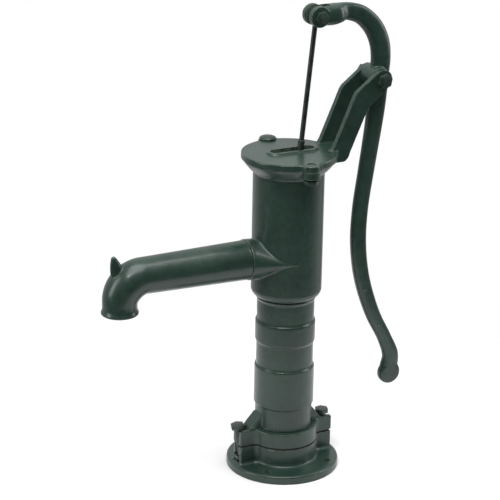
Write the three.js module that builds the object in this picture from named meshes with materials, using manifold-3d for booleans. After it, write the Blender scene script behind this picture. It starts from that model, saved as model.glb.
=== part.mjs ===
// Cast-iron hand well pump, 75 mm bore, standing on its own base flange.
//
// Millimetres, +Z up. The origin is the centre of the base's underside, on the pump's axis.
// The spout points along -X and the handle hangs on the +X side. Everything is drawn at rest:
// handle down, piston at the top of its stroke.

import * as THREE from "three";
import { mergeVertices } from "three/addons/utils/BufferGeometryUtils.js";
import { ConvexGeometry } from "three/addons/geometries/ConvexGeometry.js";
import Module from "manifold-3d";

const wasm = await Module();
wasm.setup();

// ---------------------------------------------------------------- dimensions

const GAP = 0.3; // between pieces that touch
const ROUND = 40; // sides of a large round
const SMALL_ROUND = 16; // sides of a bolt, pin or hole

// fasteners: thread radius, width across flats, head height, nut height
const M12 = { r: 6, flats: 19, head: 7.5, nut: 10.8, cupR: 12.5, cup: 5.5 };
const M10 = { r: 5, flats: 17, head: 6.4, nut: 8.4 };
const CLAMP_BOLT = { r: M10.r, flats: 18, head: 9 };

// cylinder barrel
const BORE_R = 37.5;
const CYLINDER_WALL = 4;
const CYLINDER_R = BORE_R + CYLINDER_WALL;
const BAND_RISE = 2.1;
const CYLINDER_SPIGOT = 16; // how far the barrel stands up inside the reservoir

// clamp ring and lugs, shared by the base and the cylinder
const RING_WIDTH = 9; // from the barrel's outside to the ring's
const RING_R = CYLINDER_R + RING_WIDTH;
const RING_HEIGHT = 21.4;
const LUG_SIDE_WALL = 3.3; // beside the nut
const LUG_HALF_WIDTH = M10.flats / 2 + LUG_SIDE_WALL;
const LUG_BOLT_X = RING_R + 14;
const LUG_REACH = LUG_BOLT_X + 10.5;
const LUG_FILLET = 9;
const SPOUT_SIDE_BOLT_SHIFT = 3.5; // this bolt sits further out in its slot
const SPOUT_SIDE_BOLT_LEAN = THREE.MathUtils.degToRad(8); // and leans outwards with its nut
const GUSSET_RISE = 17;
const GUSSET_REACH = 16;

// base flange
const BASE_MARGIN = 7.5; // from the lugs' ends to the rim
const BASE_R = LUG_REACH + BASE_MARGIN;
const BASE_THICKNESS = 12;
const NECK_R = RING_R - 0.5;
const NECK_HEIGHT = 27;
const NECK_TOP = BASE_THICKNESS + NECK_HEIGHT;
const NUT_HEADROOM = 4.6;
const NUT_POCKET_BOTTOM = BASE_THICKNESS + 2;
const NUT_POCKET_TOP = NUT_POCKET_BOTTOM + M10.nut + NUT_HEADROOM;
const BASE_HOLE_R = 5.5;
const BASE_HOLE_INSET = 14;
const PIPE_SOCKET_R = 19.5;
const PIPE_SOCKET_DEPTH = 24;
const VALVE_PORT_R = 16;

// foot valve
const LEATHER = 3;
const FLAP_OVERLAP = 8;
const FLAP_R = VALVE_PORT_R + FLAP_OVERLAP;
const GASKET_HOLE_R = BORE_R - 1.5;
const FLAP_HINGE_X = GASKET_HOLE_R - 3;
const FLAP_WEIGHT_R = VALVE_PORT_R;
const FLAP_WEIGHT_HEIGHT = 8;
const FLAP_SCREW_R = 3;
const LEATHER_BOTTOM = NECK_TOP + GAP;
const LEATHER_TOP = LEATHER_BOTTOM + LEATHER;

// heights up the cylinder
const CYLINDER_BOTTOM = LEATHER_TOP + GAP;
const RING_TOP = CYLINDER_BOTTOM + RING_HEIGHT;
const LOWER_BAND_BOTTOM = RING_TOP + 32;
const LOWER_BAND_TOP = LOWER_BAND_BOTTOM + 61;
const UPPER_BAND_BOTTOM = LOWER_BAND_TOP + 37;
const UPPER_BAND_TOP = UPPER_BAND_BOTTOM + 33;
const RESERVOIR_BOTTOM = UPPER_BAND_TOP + 38;
const CYLINDER_TOP = RESERVOIR_BOTTOM + CYLINDER_SPIGOT;

// reservoir, the wide upper body
const RESERVOIR_STEP = 9.5; // from the barrel's outside to the reservoir's
const RESERVOIR_R = CYLINDER_R + RESERVOIR_STEP;
const RESERVOIR_WALL = 5;
const RESERVOIR_HEIGHT = 206;
const RIM_TOP = RESERVOIR_BOTTOM + RESERVOIR_HEIGHT;
const RIM_R = RESERVOIR_R + 15;
const RIM_FLARE = 22;
const RIM_PAD_THICKNESS = 12;
const PAD_BOTTOM = RIM_TOP - RIM_PAD_THICKNESS;

// rod
const EYE_R = 11;
const EYE_THICKNESS = 9;
const UPPER_ROD_R = 3.6;
const LOWER_ROD_R = 4.8;
const ROD_THREAD = 14;
const LOOP_BAR_R = 3.5;
const LOOP_PLAY = 9.6; // room for the gudgeon pin inside the loop, all round
const GUDGEON_R = 4;
const LOOP_R = GUDGEON_R + LOOP_PLAY + LOOP_BAR_R;

// cover and its two bolts
const COVER_R = RIM_R + 2.5;
const COVER_THICKNESS = 8;
const COVER_BOTTOM = RIM_TOP + GAP;
const COVER_TOP = COVER_BOTTOM + COVER_THICKNESS;
const COVER_LUG_HALF_WIDTH = M12.cupR;
const COVER_BOLT_Y = RIM_R + 1;
const SLOT_SIDE_CLEARANCE = 2.9;
const SLOT_HALF_WIDTH = UPPER_ROD_R + SLOT_SIDE_CLEARANCE;
const SLOT_FROM = -30;
const SLOT_TO = 37;
const SLOT_LIP = 5;
const SLOT_LIP_RISE = 3;
const ROD_JOINT_Z = COVER_TOP + 14.7;

// handle: the pivot, and the pin that holds the rod's eye between two cheeks
const PIVOT = { x: 135, z: COVER_TOP + 95.7 };
const HEAD_PIN = { x: 37, z: PIVOT.z + 97 };
const CHEEK_R = 15;
const CHEEK_THICKNESS = 8;
const EYE_SIDE_PLAY = 2;
const CHEEK_GAP = EYE_THICKNESS + 2 * EYE_SIDE_PLAY;
const CHEEK_HALF_WIDTH = CHEEK_GAP / 2 + CHEEK_THICKNESS;
const CHEEK_SLOT_DEPTH = EYE_R + 8;
const KNOB = { x: PIVOT.x + 43.5, z: PIVOT.z - 463, r: 17.5, halfThickness: 7 };
const HANDLE_SECTION_POWER = 3; // 2 is an ellipse, more is squarer

// fork
const EAR_R = 14.8;
const HUB_R = 15.5;
const EAR_THICKNESS = 8;
const FORK_HALF_GAP = 16.5;
const FORK_HALF_WIDTH = FORK_HALF_GAP + EAR_THICKNESS;
const EAR_FOOT_X = RIM_R - 11;
const EAR_DROP = 18;
const EAR_FRONT_BEND = { x: PIVOT.x - 44, z: PIVOT.z - 18 };
const EAR_REAR_BEND = { x: PIVOT.x - 22, z: PIVOT.z - 39 };
const EAR_HEEL = { x: RIM_R + 20.5, z: COVER_TOP - 5.3 };

// piston
const PISTON_CLEARANCE = 5;
const PISTON_R = BORE_R - PISTON_CLEARANCE;
const PISTON_BOTTOM = CYLINDER_TOP - 45;
const PISTON_FLANGE_TOP = PISTON_BOTTOM + 26;
const CLAMP_HEIGHT = 7;
const CUP_THICKNESS = 3.5;
const CUP_LIP_HEIGHT = 15;
const PISTON_SPIGOT_R = PISTON_R - 14.5;
const PISTON_PORT_R = PISTON_SPIGOT_R - 6;
const LEG_GAP = 24;
const LEG_THICKNESS = 6;
const LEG_HALF_WIDTH = 8;
const POPPET_R = PISTON_PORT_R + 5;
const POPPET_THICKNESS = 5;
const POPPET_STEM_R = 4;
const POPPET_HEADROOM = 17.1; // from the shut valve's top to the rod's loop
const GUDGEON_Z = PISTON_FLANGE_TOP + GAP + POPPET_THICKNESS + POPPET_HEADROOM + LOOP_R + LOOP_BAR_R;

// rod from the head pin to the gudgeon
const ROD_TILT = Math.atan2(HEAD_PIN.x, HEAD_PIN.z - GUDGEON_Z);
const ROD_LENGTH = Math.hypot(HEAD_PIN.x, HEAD_PIN.z - GUDGEON_Z);
const UPPER_ROD_LENGTH = (HEAD_PIN.z - ROD_JOINT_Z) / Math.cos(ROD_TILT);

// spout
const SPOUT_Z = RESERVOIR_BOTTOM + 61;
const SPOUT_ROOT_R = 29;
const SPOUT_END_R = SPOUT_ROOT_R - 3;
const SPOUT_WALL = 5;
const SPOUT_COLLAR_X = RESERVOIR_R + 16;
const SPOUT_SPIGOT_R = SPOUT_ROOT_R - 7;
const SPOUT_SPIGOT_LENGTH = 10;
const SPOUT_MOUTH_X = 260;
const SPOUT_DROP = 51; // from the pipe's centre line down to the mouth
const SPOUT_MOUTH_Z = SPOUT_Z - SPOUT_DROP;
const ELBOW_R = 36;
const MOUTH_R = SPOUT_END_R - 1.5;
const MOUTH_BEAD_R = MOUTH_R + 2;
const MOUTH_BEAD_HEIGHT = 9;
const SADDLE_APEX_X = 9;
const HORN = {
  x: SPOUT_MOUTH_X + 3,
  z: SPOUT_Z + 12,
  tipX: SPOUT_MOUTH_X + 10,
  tipZ: SPOUT_Z + 35,
  r: 10.5,
  tipR: 3,
};

// ---------------------------------------------------------------- materials

const paint = new THREE.MeshStandardMaterial({ color: 0x2c3a32, roughness: 0.3, metalness: 0.1 });
const steel = new THREE.MeshStandardMaterial({ color: 0x3c4340, roughness: 0.45, metalness: 0.7 });
const leather = new THREE.MeshStandardMaterial({ color: 0x2a1c12, roughness: 0.7, metalness: 0 });
const brass = new THREE.MeshStandardMaterial({ color: 0xa8823c, roughness: 0.35, metalness: 1 });
const rawIron = new THREE.MeshStandardMaterial({ color: 0x3a3a3a, roughness: 0.6, metalness: 0.6 });

// ---------------------------------------------------------------- solids

// A closed geometry as a solid, with degenerate triangles dropped and its faces pointing out.
function solid(geometry) {
  const bare = geometry.clone();
  bare.deleteAttribute("normal");
  bare.deleteAttribute("uv");
  const merged = mergeVertices(bare, 1e-4);
  const points = merged.attributes.position.array;
  const corners = merged.index.array;
  const kept = [];
  let volume = 0;
  for (let i = 0; i < corners.length; i += 3) {
    const [a, b, c] = [corners[i], corners[i + 1], corners[i + 2]];
    if (a !== b && b !== c && c !== a) {
      kept.push(a, b, c);
      const p = new THREE.Vector3().fromArray(points, 3 * a);
      const q = new THREE.Vector3().fromArray(points, 3 * b);
      const r = new THREE.Vector3().fromArray(points, 3 * c);
      volume += p.dot(q.cross(r));
    }
  }
  if (volume < 0) {
    kept.reverse();
  }
  return new wasm.Manifold(new wasm.Mesh({
    numProp: 3,
    vertProperties: Float32Array.from(points),
    triVerts: Uint32Array.from(kept),
  }));
}

function join(first, ...others) {
  return others.reduce((sum, other) => sum.add(other), first);
}

function cut(first, ...others) {
  return others.reduce((rest, other) => rest.subtract(other), first);
}

// A solid of revolution about Z from [radius, height] points.
function turned(profile, sides = ROUND) {
  const points = profile.map(([r, z]) => new THREE.Vector2(r, z));
  return solid(new THREE.LatheGeometry(points, sides).rotateX(Math.PI / 2));
}

// A ring about Z: its profile closes on itself.
function turnedRing(profile, sides = ROUND) {
  return turned([...profile, profile[0]], sides);
}

function discZ(r, z0, z1, x = 0, y = 0, sides = SMALL_ROUND) {
  const geometry = new THREE.CylinderGeometry(r, r, z1 - z0, sides).rotateX(Math.PI / 2);
  return solid(geometry.translate(x, y, (z0 + z1) / 2));
}

function discY(r, y0, y1, x = 0, z = 0, sides = SMALL_ROUND) {
  const geometry = new THREE.CylinderGeometry(r, r, y1 - y0, sides);
  return solid(geometry.translate(x, (y0 + y1) / 2, z));
}

function block(x0, x1, y0, y1, z0, z1) {
  const geometry = new THREE.BoxGeometry(x1 - x0, y1 - y0, z1 - z0);
  return solid(geometry.translate((x0 + x1) / 2, (y0 + y1) / 2, (z0 + z1) / 2));
}

// An outline in the XY plane, raised from z0 to z1.
function raised(shape, z0, z1, curveSegments = 5) {
  const geometry = new THREE.ExtrudeGeometry(shape, { depth: z1 - z0, bevelEnabled: false, curveSegments });
  return solid(geometry.translate(0, 0, z0));
}

// An outline in the XZ plane, as thick as y0 to y1.
function plate(shape, y0, y1, curveSegments = 8) {
  const geometry = new THREE.ExtrudeGeometry(shape, { depth: y1 - y0, bevelEnabled: false, curveSegments });
  return solid(geometry.rotateX(Math.PI / 2).translate(0, y1, 0));
}

// A hexagon about Z with its corners chamfered on one face, as a bolt head or nut is.
function hexagon(flats, z0, z1, chamferTop) {
  const cornerR = flats / Math.sqrt(3);
  const flatR = flats / 2;
  const chamfer = (cornerR - flatR) / 2;
  const body = solid(new THREE.CylinderGeometry(cornerR, cornerR, z1 - z0, 6)
    .rotateX(Math.PI / 2)
    .translate(0, 0, (z0 + z1) / 2));
  const envelope = chamferTop
    ? turned([[0, z0], [cornerR + 1, z0], [cornerR + 1, z1 - chamfer - 1], [flatR, z1], [0, z1]], 24)
    : turned([[0, z0], [flatR, z0], [cornerR + 1, z0 + chamfer + 1], [cornerR + 1, z1], [0, z1]], 24);
  return body.intersect(envelope);
}

// A hexagon-head bolt along -Z, its head standing on z = 0.
function boltSolid(size, length) {
  return join(hexagon(size.flats, 0, size.head, true), discZ(size.r, -length, 0.2));
}

// A nut standing on z = 0, with a clear bore for its bolt.
function nutSolid(size) {
  return cut(hexagon(size.flats, 0, size.nut, true), discZ(size.r + GAP, -1, size.nut + 1));
}

// A cup-head bolt along -Z, its domed head standing on z = 0.
function cupBoltSolid(size, length) {
  const steps = 5;
  const dome = [[0, 0], [size.cupR, 0]];
  for (let i = 0; i < steps; i += 1) {
    const angle = (Math.PI / 2) * (i / steps);
    dome.push([size.cupR * Math.cos(angle), 1 + (size.cup - 1) * Math.sin(angle)]);
  }
  dome.push([0, size.cup]);
  return join(turned(dome, 24), discZ(size.r, -length, 0.2));
}

// A slot outline from x0 to x1, its ends half-round.
function slotShape(x0, x1, halfWidth) {
  const shape = new THREE.Shape();
  shape.absarc(x1 - halfWidth, 0, halfWidth, -Math.PI / 2, Math.PI / 2, false);
  shape.absarc(x0 + halfWidth, 0, halfWidth, Math.PI / 2, 1.5 * Math.PI, false);
  shape.closePath();
  return shape;
}

// A disc with a lug on each side along X, blended into the disc with a fillet. The long arcs
// are drawn in three stretches, so that they get more points than the fillets.
function luggedDisc(r, halfWidth, reach, fillet, roundEnds) {
  const centreY = halfWidth + fillet;
  const centreX = Math.sqrt((r + fillet) ** 2 - centreY ** 2);
  const meet = Math.atan2(centreY, centreX);
  const quarter = Math.PI / 2;
  const shape = new THREE.Shape();
  const longArc = (start) => {
    const stretch = (Math.PI - 2 * meet) / 3;
    for (let i = 0; i < 3; i += 1) {
      shape.absarc(0, 0, r, start + i * stretch, start + (i + 1) * stretch, false);
    }
  };
  longArc(meet);
  shape.absarc(-centreX, centreY, fillet, -meet, -quarter, true);
  if (roundEnds) {
    shape.absarc(halfWidth - reach, 0, halfWidth, quarter, 3 * quarter, false);
  } else {
    shape.lineTo(-reach, halfWidth);
    shape.lineTo(-reach, -halfWidth);
  }
  shape.absarc(-centreX, -centreY, fillet, quarter, meet, true);
  longArc(Math.PI + meet);
  shape.absarc(centreX, -centreY, fillet, Math.PI - meet, quarter, true);
  if (roundEnds) {
    shape.absarc(reach - halfWidth, 0, halfWidth, -quarter, quarter, false);
  } else {
    shape.lineTo(reach, -halfWidth);
    shape.lineTo(reach, halfWidth);
  }
  shape.absarc(centreX, centreY, fillet, -quarter, meet - Math.PI, true);
  shape.closePath();
  return shape;
}

// A skin over closed rings of equal length, with a flat cap at each end.
function skin(rings) {
  const sides = rings[0].length;
  const points = rings.flat();
  const first = points.length;
  const ends = [rings[0], rings[rings.length - 1]];
  for (const ring of ends) {
    const centre = new THREE.Vector3();
    ring.forEach((point) => centre.addScaledVector(point, 1 / sides));
    points.push(centre);
  }
  const triangles = [];
  for (let i = 0; i + 1 < rings.length; i += 1) {
    for (let j = 0; j < sides; j += 1) {
      const next = (j + 1) % sides;
      const [a, b] = [i * sides + j, i * sides + next];
      triangles.push(a, b, b + sides, a, b + sides, a + sides);
    }
  }
  const last = (rings.length - 1) * sides;
  for (let j = 0; j < sides; j += 1) {
    const next = (j + 1) % sides;
    triangles.push(first, next, j, first + 1, last + j, last + next);
  }
  const geometry = new THREE.BufferGeometry().setFromPoints(points);
  geometry.setIndex(triangles);
  return solid(geometry);
}

// ---------------------------------------------------------------- the object

const pump = new THREE.Group();

// Adds a named piece made of one solid, in the parent's own coordinates.
function piece(name, body, material, parent = pump) {
  const data = body.getMesh();
  const geometry = new THREE.BufferGeometry();
  geometry.setAttribute("position", new THREE.BufferAttribute(Float32Array.from(data.vertProperties), 3));
  geometry.setIndex(new THREE.BufferAttribute(Uint32Array.from(data.triVerts), 1));
  geometry.computeVertexNormals();
  const mesh = new THREE.Mesh(geometry, material);
  mesh.name = name;
  parent.add(mesh);
  return mesh;
}

// ---------------------------------------------------------------- base flange

// The open-ended slots that the clamp bolts drop into, one in each lug.
function boltSlots(z0, z1, halfWidth) {
  const right = join(
    discZ(halfWidth, z0, z1, LUG_BOLT_X, 0),
    block(LUG_BOLT_X, LUG_REACH + 5, -halfWidth, halfWidth, z0, z1),
  );
  return join(right, right.rotate([0, 0, 180]));
}

// Under the slots, the square-backed pockets that keep the nuts from turning.
function nutPockets() {
  const back = LUG_BOLT_X - M10.flats / Math.sqrt(3) - GAP;
  const halfWidth = M10.flats / 2 + GAP;
  const right = block(back, LUG_REACH + 5, -halfWidth, halfWidth, NUT_POCKET_BOTTOM, NUT_POCKET_TOP);
  return join(right, right.rotate([0, 0, 180]));
}

function baseFlange() {
  const edge = 3;
  const root = 5;
  const disc = turned([
    [0, 0], [BASE_R - 1, 0], [BASE_R, 1], [BASE_R, BASE_THICKNESS - edge],
    [BASE_R - 1, BASE_THICKNESS - 1], [BASE_R - edge, BASE_THICKNESS],
    [NECK_R + root, BASE_THICKNESS], [NECK_R + 1.5, BASE_THICKNESS + 1.5],
    [NECK_R, BASE_THICKNESS + root], [NECK_R, NECK_TOP], [0, NECK_TOP],
  ], 48);
  const lugs = raised(
    luggedDisc(NECK_R - 0.5, LUG_HALF_WIDTH, LUG_REACH, LUG_FILLET, false),
    BASE_THICKNESS - 2,
    NECK_TOP,
  );
  const holes = [45, 135, 225, 315].map((degrees) => {
    const angle = THREE.MathUtils.degToRad(degrees);
    const x = (BASE_R - BASE_HOLE_INSET) * Math.cos(angle);
    const y = (BASE_R - BASE_HOLE_INSET) * Math.sin(angle);
    return discZ(BASE_HOLE_R, -1, BASE_THICKNESS + 1, x, y);
  });
  return cut(
    join(disc, lugs),
    discZ(PIPE_SOCKET_R, -1, PIPE_SOCKET_DEPTH, 0, 0, ROUND),
    discZ(VALVE_PORT_R, PIPE_SOCKET_DEPTH - 1, NECK_TOP + 1, 0, 0, ROUND),
    boltSlots(NUT_POCKET_BOTTOM, NECK_TOP + 1, M10.r + 0.7),
    nutPockets(),
    ...holes,
  );
}

piece("base_flange", baseFlange(), paint);

// ---------------------------------------------------------------- foot valve

piece("foot_gasket", cut(
  raised(luggedDisc(NECK_R, LUG_HALF_WIDTH, LUG_REACH, LUG_FILLET, false), LEATHER_BOTTOM, LEATHER_TOP),
  discZ(GASKET_HOLE_R, LEATHER_BOTTOM - 1, LEATHER_TOP + 1, 0, 0, ROUND),
  boltSlots(LEATHER_BOTTOM - 1, LEATHER_TOP + 1, M10.r + 0.7),
), leather);

piece("foot_valve_flap", cut(
  join(
    discZ(FLAP_R, LEATHER_BOTTOM, LEATHER_TOP, 0, 0, ROUND),
    block(0, FLAP_HINGE_X, -8, 8, LEATHER_BOTTOM, LEATHER_TOP),
  ),
  discZ(FLAP_SCREW_R + GAP, LEATHER_BOTTOM - 1, LEATHER_TOP + 1),
), leather);

const WEIGHT_BOTTOM = LEATHER_TOP + GAP;
const WEIGHT_TOP = WEIGHT_BOTTOM + FLAP_WEIGHT_HEIGHT;
piece("foot_valve_weight", cut(
  turned([
    [0, WEIGHT_BOTTOM], [FLAP_WEIGHT_R, WEIGHT_BOTTOM], [FLAP_WEIGHT_R, WEIGHT_TOP - 3],
    [FLAP_WEIGHT_R - 3, WEIGHT_TOP], [0, WEIGHT_TOP],
  ], 32),
  discZ(FLAP_SCREW_R + GAP, WEIGHT_BOTTOM - 1, WEIGHT_TOP + 1),
), rawIron);

const flapWasherTop = LEATHER_BOTTOM - GAP;
piece("foot_valve_screw", join(
  discZ(VALVE_PORT_R - 3, flapWasherTop - 2.5, flapWasherTop, 0, 0, 32),
  discZ(FLAP_SCREW_R, flapWasherTop - 1, WEIGHT_TOP + 1),
  discZ(6, WEIGHT_TOP + GAP, WEIGHT_TOP + GAP + 4, 0, 0, 24),
), brass);

// ---------------------------------------------------------------- cylinder

function cylinder() {
  const bead = 2;
  const r = CYLINDER_R;
  const bandR = r + BAND_RISE;
  const barrel = turnedRing([
    [BORE_R, CYLINDER_BOTTOM], [r, CYLINDER_BOTTOM],
    [r, LOWER_BAND_BOTTOM], [bandR, LOWER_BAND_BOTTOM + BAND_RISE],
    [bandR, LOWER_BAND_TOP - 0.8], [bandR - 0.8, LOWER_BAND_TOP], [r, LOWER_BAND_TOP],
    [r, UPPER_BAND_BOTTOM], [bandR, UPPER_BAND_BOTTOM + BAND_RISE],
    [bandR, UPPER_BAND_TOP - 0.8], [bandR - 0.8, UPPER_BAND_TOP], [r, UPPER_BAND_TOP],
    [r, RESERVOIR_BOTTOM - GAP - 2 * bead], [r + bead, RESERVOIR_BOTTOM - GAP - bead],
    [r + bead, RESERVOIR_BOTTOM - GAP], [r, RESERVOIR_BOTTOM - GAP],
    [r, CYLINDER_TOP], [BORE_R, CYLINDER_TOP],
  ]);
  const ring = raised(
    luggedDisc(RING_R, LUG_HALF_WIDTH, LUG_REACH, LUG_FILLET, false),
    CYLINDER_BOTTOM,
    RING_TOP,
  );
  const gusset = new THREE.Shape();
  gusset.moveTo(r - 1, RING_TOP - 1);
  gusset.lineTo(r + GUSSET_REACH, RING_TOP - 1);
  gusset.lineTo(r + GUSSET_REACH, RING_TOP);
  gusset.lineTo(r + 2, RING_TOP + GUSSET_RISE);
  gusset.lineTo(r - 1, RING_TOP + GUSSET_RISE);
  const rib = plate(gusset, -LUG_HALF_WIDTH + 2, LUG_HALF_WIDTH - 2);
  const ribClear = discZ(CLAMP_BOLT.flats / 2 + 2, RING_TOP, RING_TOP + 30, LUG_BOLT_X, 0, 24);
  const ribs = cut(rib, ribClear);
  return cut(
    join(barrel, ring, ribs, ribs.rotate([0, 0, 180])),
    discZ(BORE_R, CYLINDER_BOTTOM - 1, CYLINDER_TOP + 1, 0, 0, ROUND),
    boltSlots(CYLINDER_BOTTOM - 1, RING_TOP + 1, M10.r + 0.7),
  );
}

piece("pump_cylinder", cylinder(), paint);

// ---------------------------------------------------------------- clamp bolts

const CLAMP_BOLT_LENGTH = RING_TOP + GAP - NUT_POCKET_BOTTOM - 2;
const clampNutMiddle = (NUT_POCKET_BOTTOM + NUT_POCKET_TOP) / 2;
const clampPlaces = [
  ["spout_side", -LUG_BOLT_X - SPOUT_SIDE_BOLT_SHIFT, -SPOUT_SIDE_BOLT_LEAN],
  ["handle_side", LUG_BOLT_X, 0],
];
for (const [side, x, lean] of clampPlaces) {
  const clampGroup = new THREE.Group();
  clampGroup.position.set(x, 0, clampNutMiddle);
  clampGroup.rotation.y = lean;
  pump.add(clampGroup);
  const bolt = piece(`clamp_bolt_${side}`, boltSolid(CLAMP_BOLT, CLAMP_BOLT_LENGTH), steel, clampGroup);
  bolt.position.z = (RING_TOP + GAP - clampNutMiddle) / Math.cos(lean);
  const nut = piece(`clamp_nut_${side}`, nutSolid(M10).rotate([0, 0, 30]), steel, clampGroup);
  nut.position.z = -M10.nut / 2;
}

// ---------------------------------------------------------------- reservoir

// The bolt pads under the cover, one on each side along Y.
function rimPads() {
  const shape = slotShape(-COVER_BOLT_Y - COVER_LUG_HALF_WIDTH, COVER_BOLT_Y + COVER_LUG_HALF_WIDTH,
    COVER_LUG_HALF_WIDTH);
  return raised(shape, PAD_BOTTOM, RIM_TOP, 10).rotate([0, 0, 90]);
}

// The cast root of the spout: a cone over the pipe's end whose sides run back to two sharp
// points on the sides of the body.
function spoutSaddle() {
  const points = [];
  const sides = 28;
  for (let i = 0; i < sides; i += 1) {
    const angle = (2 * Math.PI * i) / sides;
    const y = SPOUT_ROOT_R * Math.cos(angle);
    const z = SPOUT_Z + SPOUT_ROOT_R * Math.sin(angle);
    points.push(new THREE.Vector3(-SPOUT_COLLAR_X, y, z));
    points.push(new THREE.Vector3(-RESERVOIR_R + RESERVOIR_WALL, y, z));
  }
  const apexY = Math.sqrt(RESERVOIR_R ** 2 - SADDLE_APEX_X ** 2);
  for (const y of [-apexY, apexY]) {
    points.push(new THREE.Vector3(-SADDLE_APEX_X, y, SPOUT_Z));
  }
  return solid(new ConvexGeometry(points));
}

function reservoir() {
  const r = RESERVOIR_R;
  const inner = r - RESERVOIR_WALL;
  const corner = 12;
  const seat = CYLINDER_R + GAP;
  const flareStart = RIM_TOP - RIM_FLARE;
  const shell = turned([
    [0, RESERVOIR_BOTTOM], [r - corner + 4, RESERVOIR_BOTTOM],
    [r - 3.4, RESERVOIR_BOTTOM + 3.6], [r - 0.9, RESERVOIR_BOTTOM + 8], [r, RESERVOIR_BOTTOM + corner],
    [r, flareStart], [r + 3.5, flareStart + 1.5], [r + 9, flareStart + 6],
    [r + 13, flareStart + 12], [RIM_R, RIM_TOP], [0, RIM_TOP],
  ]);
  const cavity = turned([
    [0, RESERVOIR_BOTTOM + corner], [inner - 3, RESERVOIR_BOTTOM + corner],
    [inner, RESERVOIR_BOTTOM + corner + 4], [inner, flareStart],
    [inner + 10, RIM_TOP - 9], [inner + 12, RIM_TOP + 1], [0, RIM_TOP + 1],
  ]);
  const boltHoles = [-COVER_BOLT_Y, COVER_BOLT_Y].map((y) => join(
    discZ(M12.r + 0.7, PAD_BOTTOM - 1, RIM_TOP + 1, 0, y),
    discZ(M12.flats / Math.sqrt(3) + 1, PAD_BOTTOM - 20, PAD_BOTTOM, 0, y, 24),
  ));
  const spoutBore = new THREE.CylinderGeometry(SPOUT_SPIGOT_R + GAP, SPOUT_SPIGOT_R + GAP, SPOUT_COLLAR_X, 32)
    .rotateZ(Math.PI / 2)
    .translate(-SPOUT_COLLAR_X / 2 - 2, 0, SPOUT_Z);
  return cut(
    join(shell, rimPads(), spoutSaddle()),
    cavity,
    discZ(seat, RESERVOIR_BOTTOM - 1, RESERVOIR_BOTTOM + corner + 1, 0, 0, ROUND),
    solid(spoutBore),
    ...boltHoles,
  );
}

piece("reservoir", reservoir(), paint);

// ---------------------------------------------------------------- spout

// Rings round the spout's centre line: along the pipe, round the elbow and down to the mouth.
function spoutRings(radiusAt, startX, sides, endZ) {
  const rings = [];
  const bendX = SPOUT_MOUTH_X - ELBOW_R;
  const bendZ = SPOUT_Z - ELBOW_R;
  const addRing = (x, z, lean, r) => {
    const ring = [];
    for (let j = 0; j < sides; j += 1) {
      const angle = (2 * Math.PI * j) / sides;
      const across = r * Math.cos(angle);
      const along = r * Math.sin(angle);
      ring.push(new THREE.Vector3(-x - along * Math.sin(lean), across, z + along * Math.cos(lean)));
    }
    rings.push(ring);
  };
  const straightSteps = 3;
  for (let i = 0; i <= straightSteps; i += 1) {
    const x = startX + ((bendX - startX) * i) / straightSteps;
    addRing(x, SPOUT_Z, 0, radiusAt((0.6 * i) / straightSteps));
  }
  const bendSteps = 8;
  for (let i = 1; i <= bendSteps; i += 1) {
    const lean = (Math.PI / 2) * (i / bendSteps);
    const x = bendX + ELBOW_R * Math.sin(lean);
    const z = bendZ + ELBOW_R * Math.cos(lean);
    addRing(x, z, lean, radiusAt(0.6 + (0.4 * i) / bendSteps));
  }
  addRing(SPOUT_MOUTH_X, endZ, Math.PI / 2, radiusAt(1));
  return rings;
}

function spout() {
  const outer = skin(spoutRings(
    (t) => (t < 0.6
      ? SPOUT_ROOT_R - 0.5 + (SPOUT_END_R + 0.5 - SPOUT_ROOT_R) * (t / 0.6)
      : SPOUT_END_R + 1.5 * Math.sin(Math.PI * (t - 0.6) / 0.4) + (MOUTH_R - SPOUT_END_R) * (t - 0.6) / 0.4),
    SPOUT_COLLAR_X + GAP, 28, SPOUT_MOUTH_Z + 2,
  ));
  const inner = skin(spoutRings(
    () => MOUTH_R - SPOUT_WALL, SPOUT_COLLAR_X - SPOUT_SPIGOT_LENGTH - 5, 20, SPOUT_MOUTH_Z - 2,
  ));
  const bead = turned([
    [0, 0], [MOUTH_BEAD_R - 3, 0], [MOUTH_BEAD_R - 0.6, 1.6], [MOUTH_BEAD_R, 4],
    [MOUTH_BEAD_R - 0.6, 6.4], [MOUTH_R, MOUTH_BEAD_HEIGHT], [0, MOUTH_BEAD_HEIGHT],
  ], 28).translate([-SPOUT_MOUTH_X, 0, SPOUT_MOUTH_Z]);
  const spigot = solid(new THREE.CylinderGeometry(SPOUT_SPIGOT_R, SPOUT_SPIGOT_R, SPOUT_SPIGOT_LENGTH + 4, 32)
    .rotateZ(Math.PI / 2)
    .translate(-SPOUT_COLLAR_X + (SPOUT_SPIGOT_LENGTH - 4) / 2, 0, SPOUT_Z));
  const hornRings = [0, 0.35, 0.7, 1].map((t) => {
    const ring = [];
    const sides = 14;
    const x = -(HORN.x + (HORN.tipX - HORN.x) * t);
    const z = HORN.z - 6 + (HORN.tipZ - HORN.z + 6) * t;
    const r = HORN.r + (HORN.tipR - HORN.r) * t;
    for (let j = 0; j < sides; j += 1) {
      const angle = (2 * Math.PI * j) / sides;
      ring.push(new THREE.Vector3(x + r * Math.cos(angle), 0.7 * r * Math.sin(angle), z));
    }
    return ring;
  });
  return cut(join(outer, bead, spigot, skin(hornRings)), inner);
}

piece("spout", spout(), paint);

// ---------------------------------------------------------------- cover and fork

// The point where a line from a given point touches a circle, on the left or right of it.
function touchPoint(from, centre, r, side) {
  const distance = Math.hypot(centre.x - from.x, centre.z - from.z);
  const heading = Math.atan2(centre.z - from.z, centre.x - from.x);
  const angle = heading + side * Math.asin(r / distance);
  const length = Math.sqrt(distance ** 2 - r ** 2);
  return { x: from.x + length * Math.cos(angle), z: from.z + length * Math.sin(angle) };
}

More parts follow.
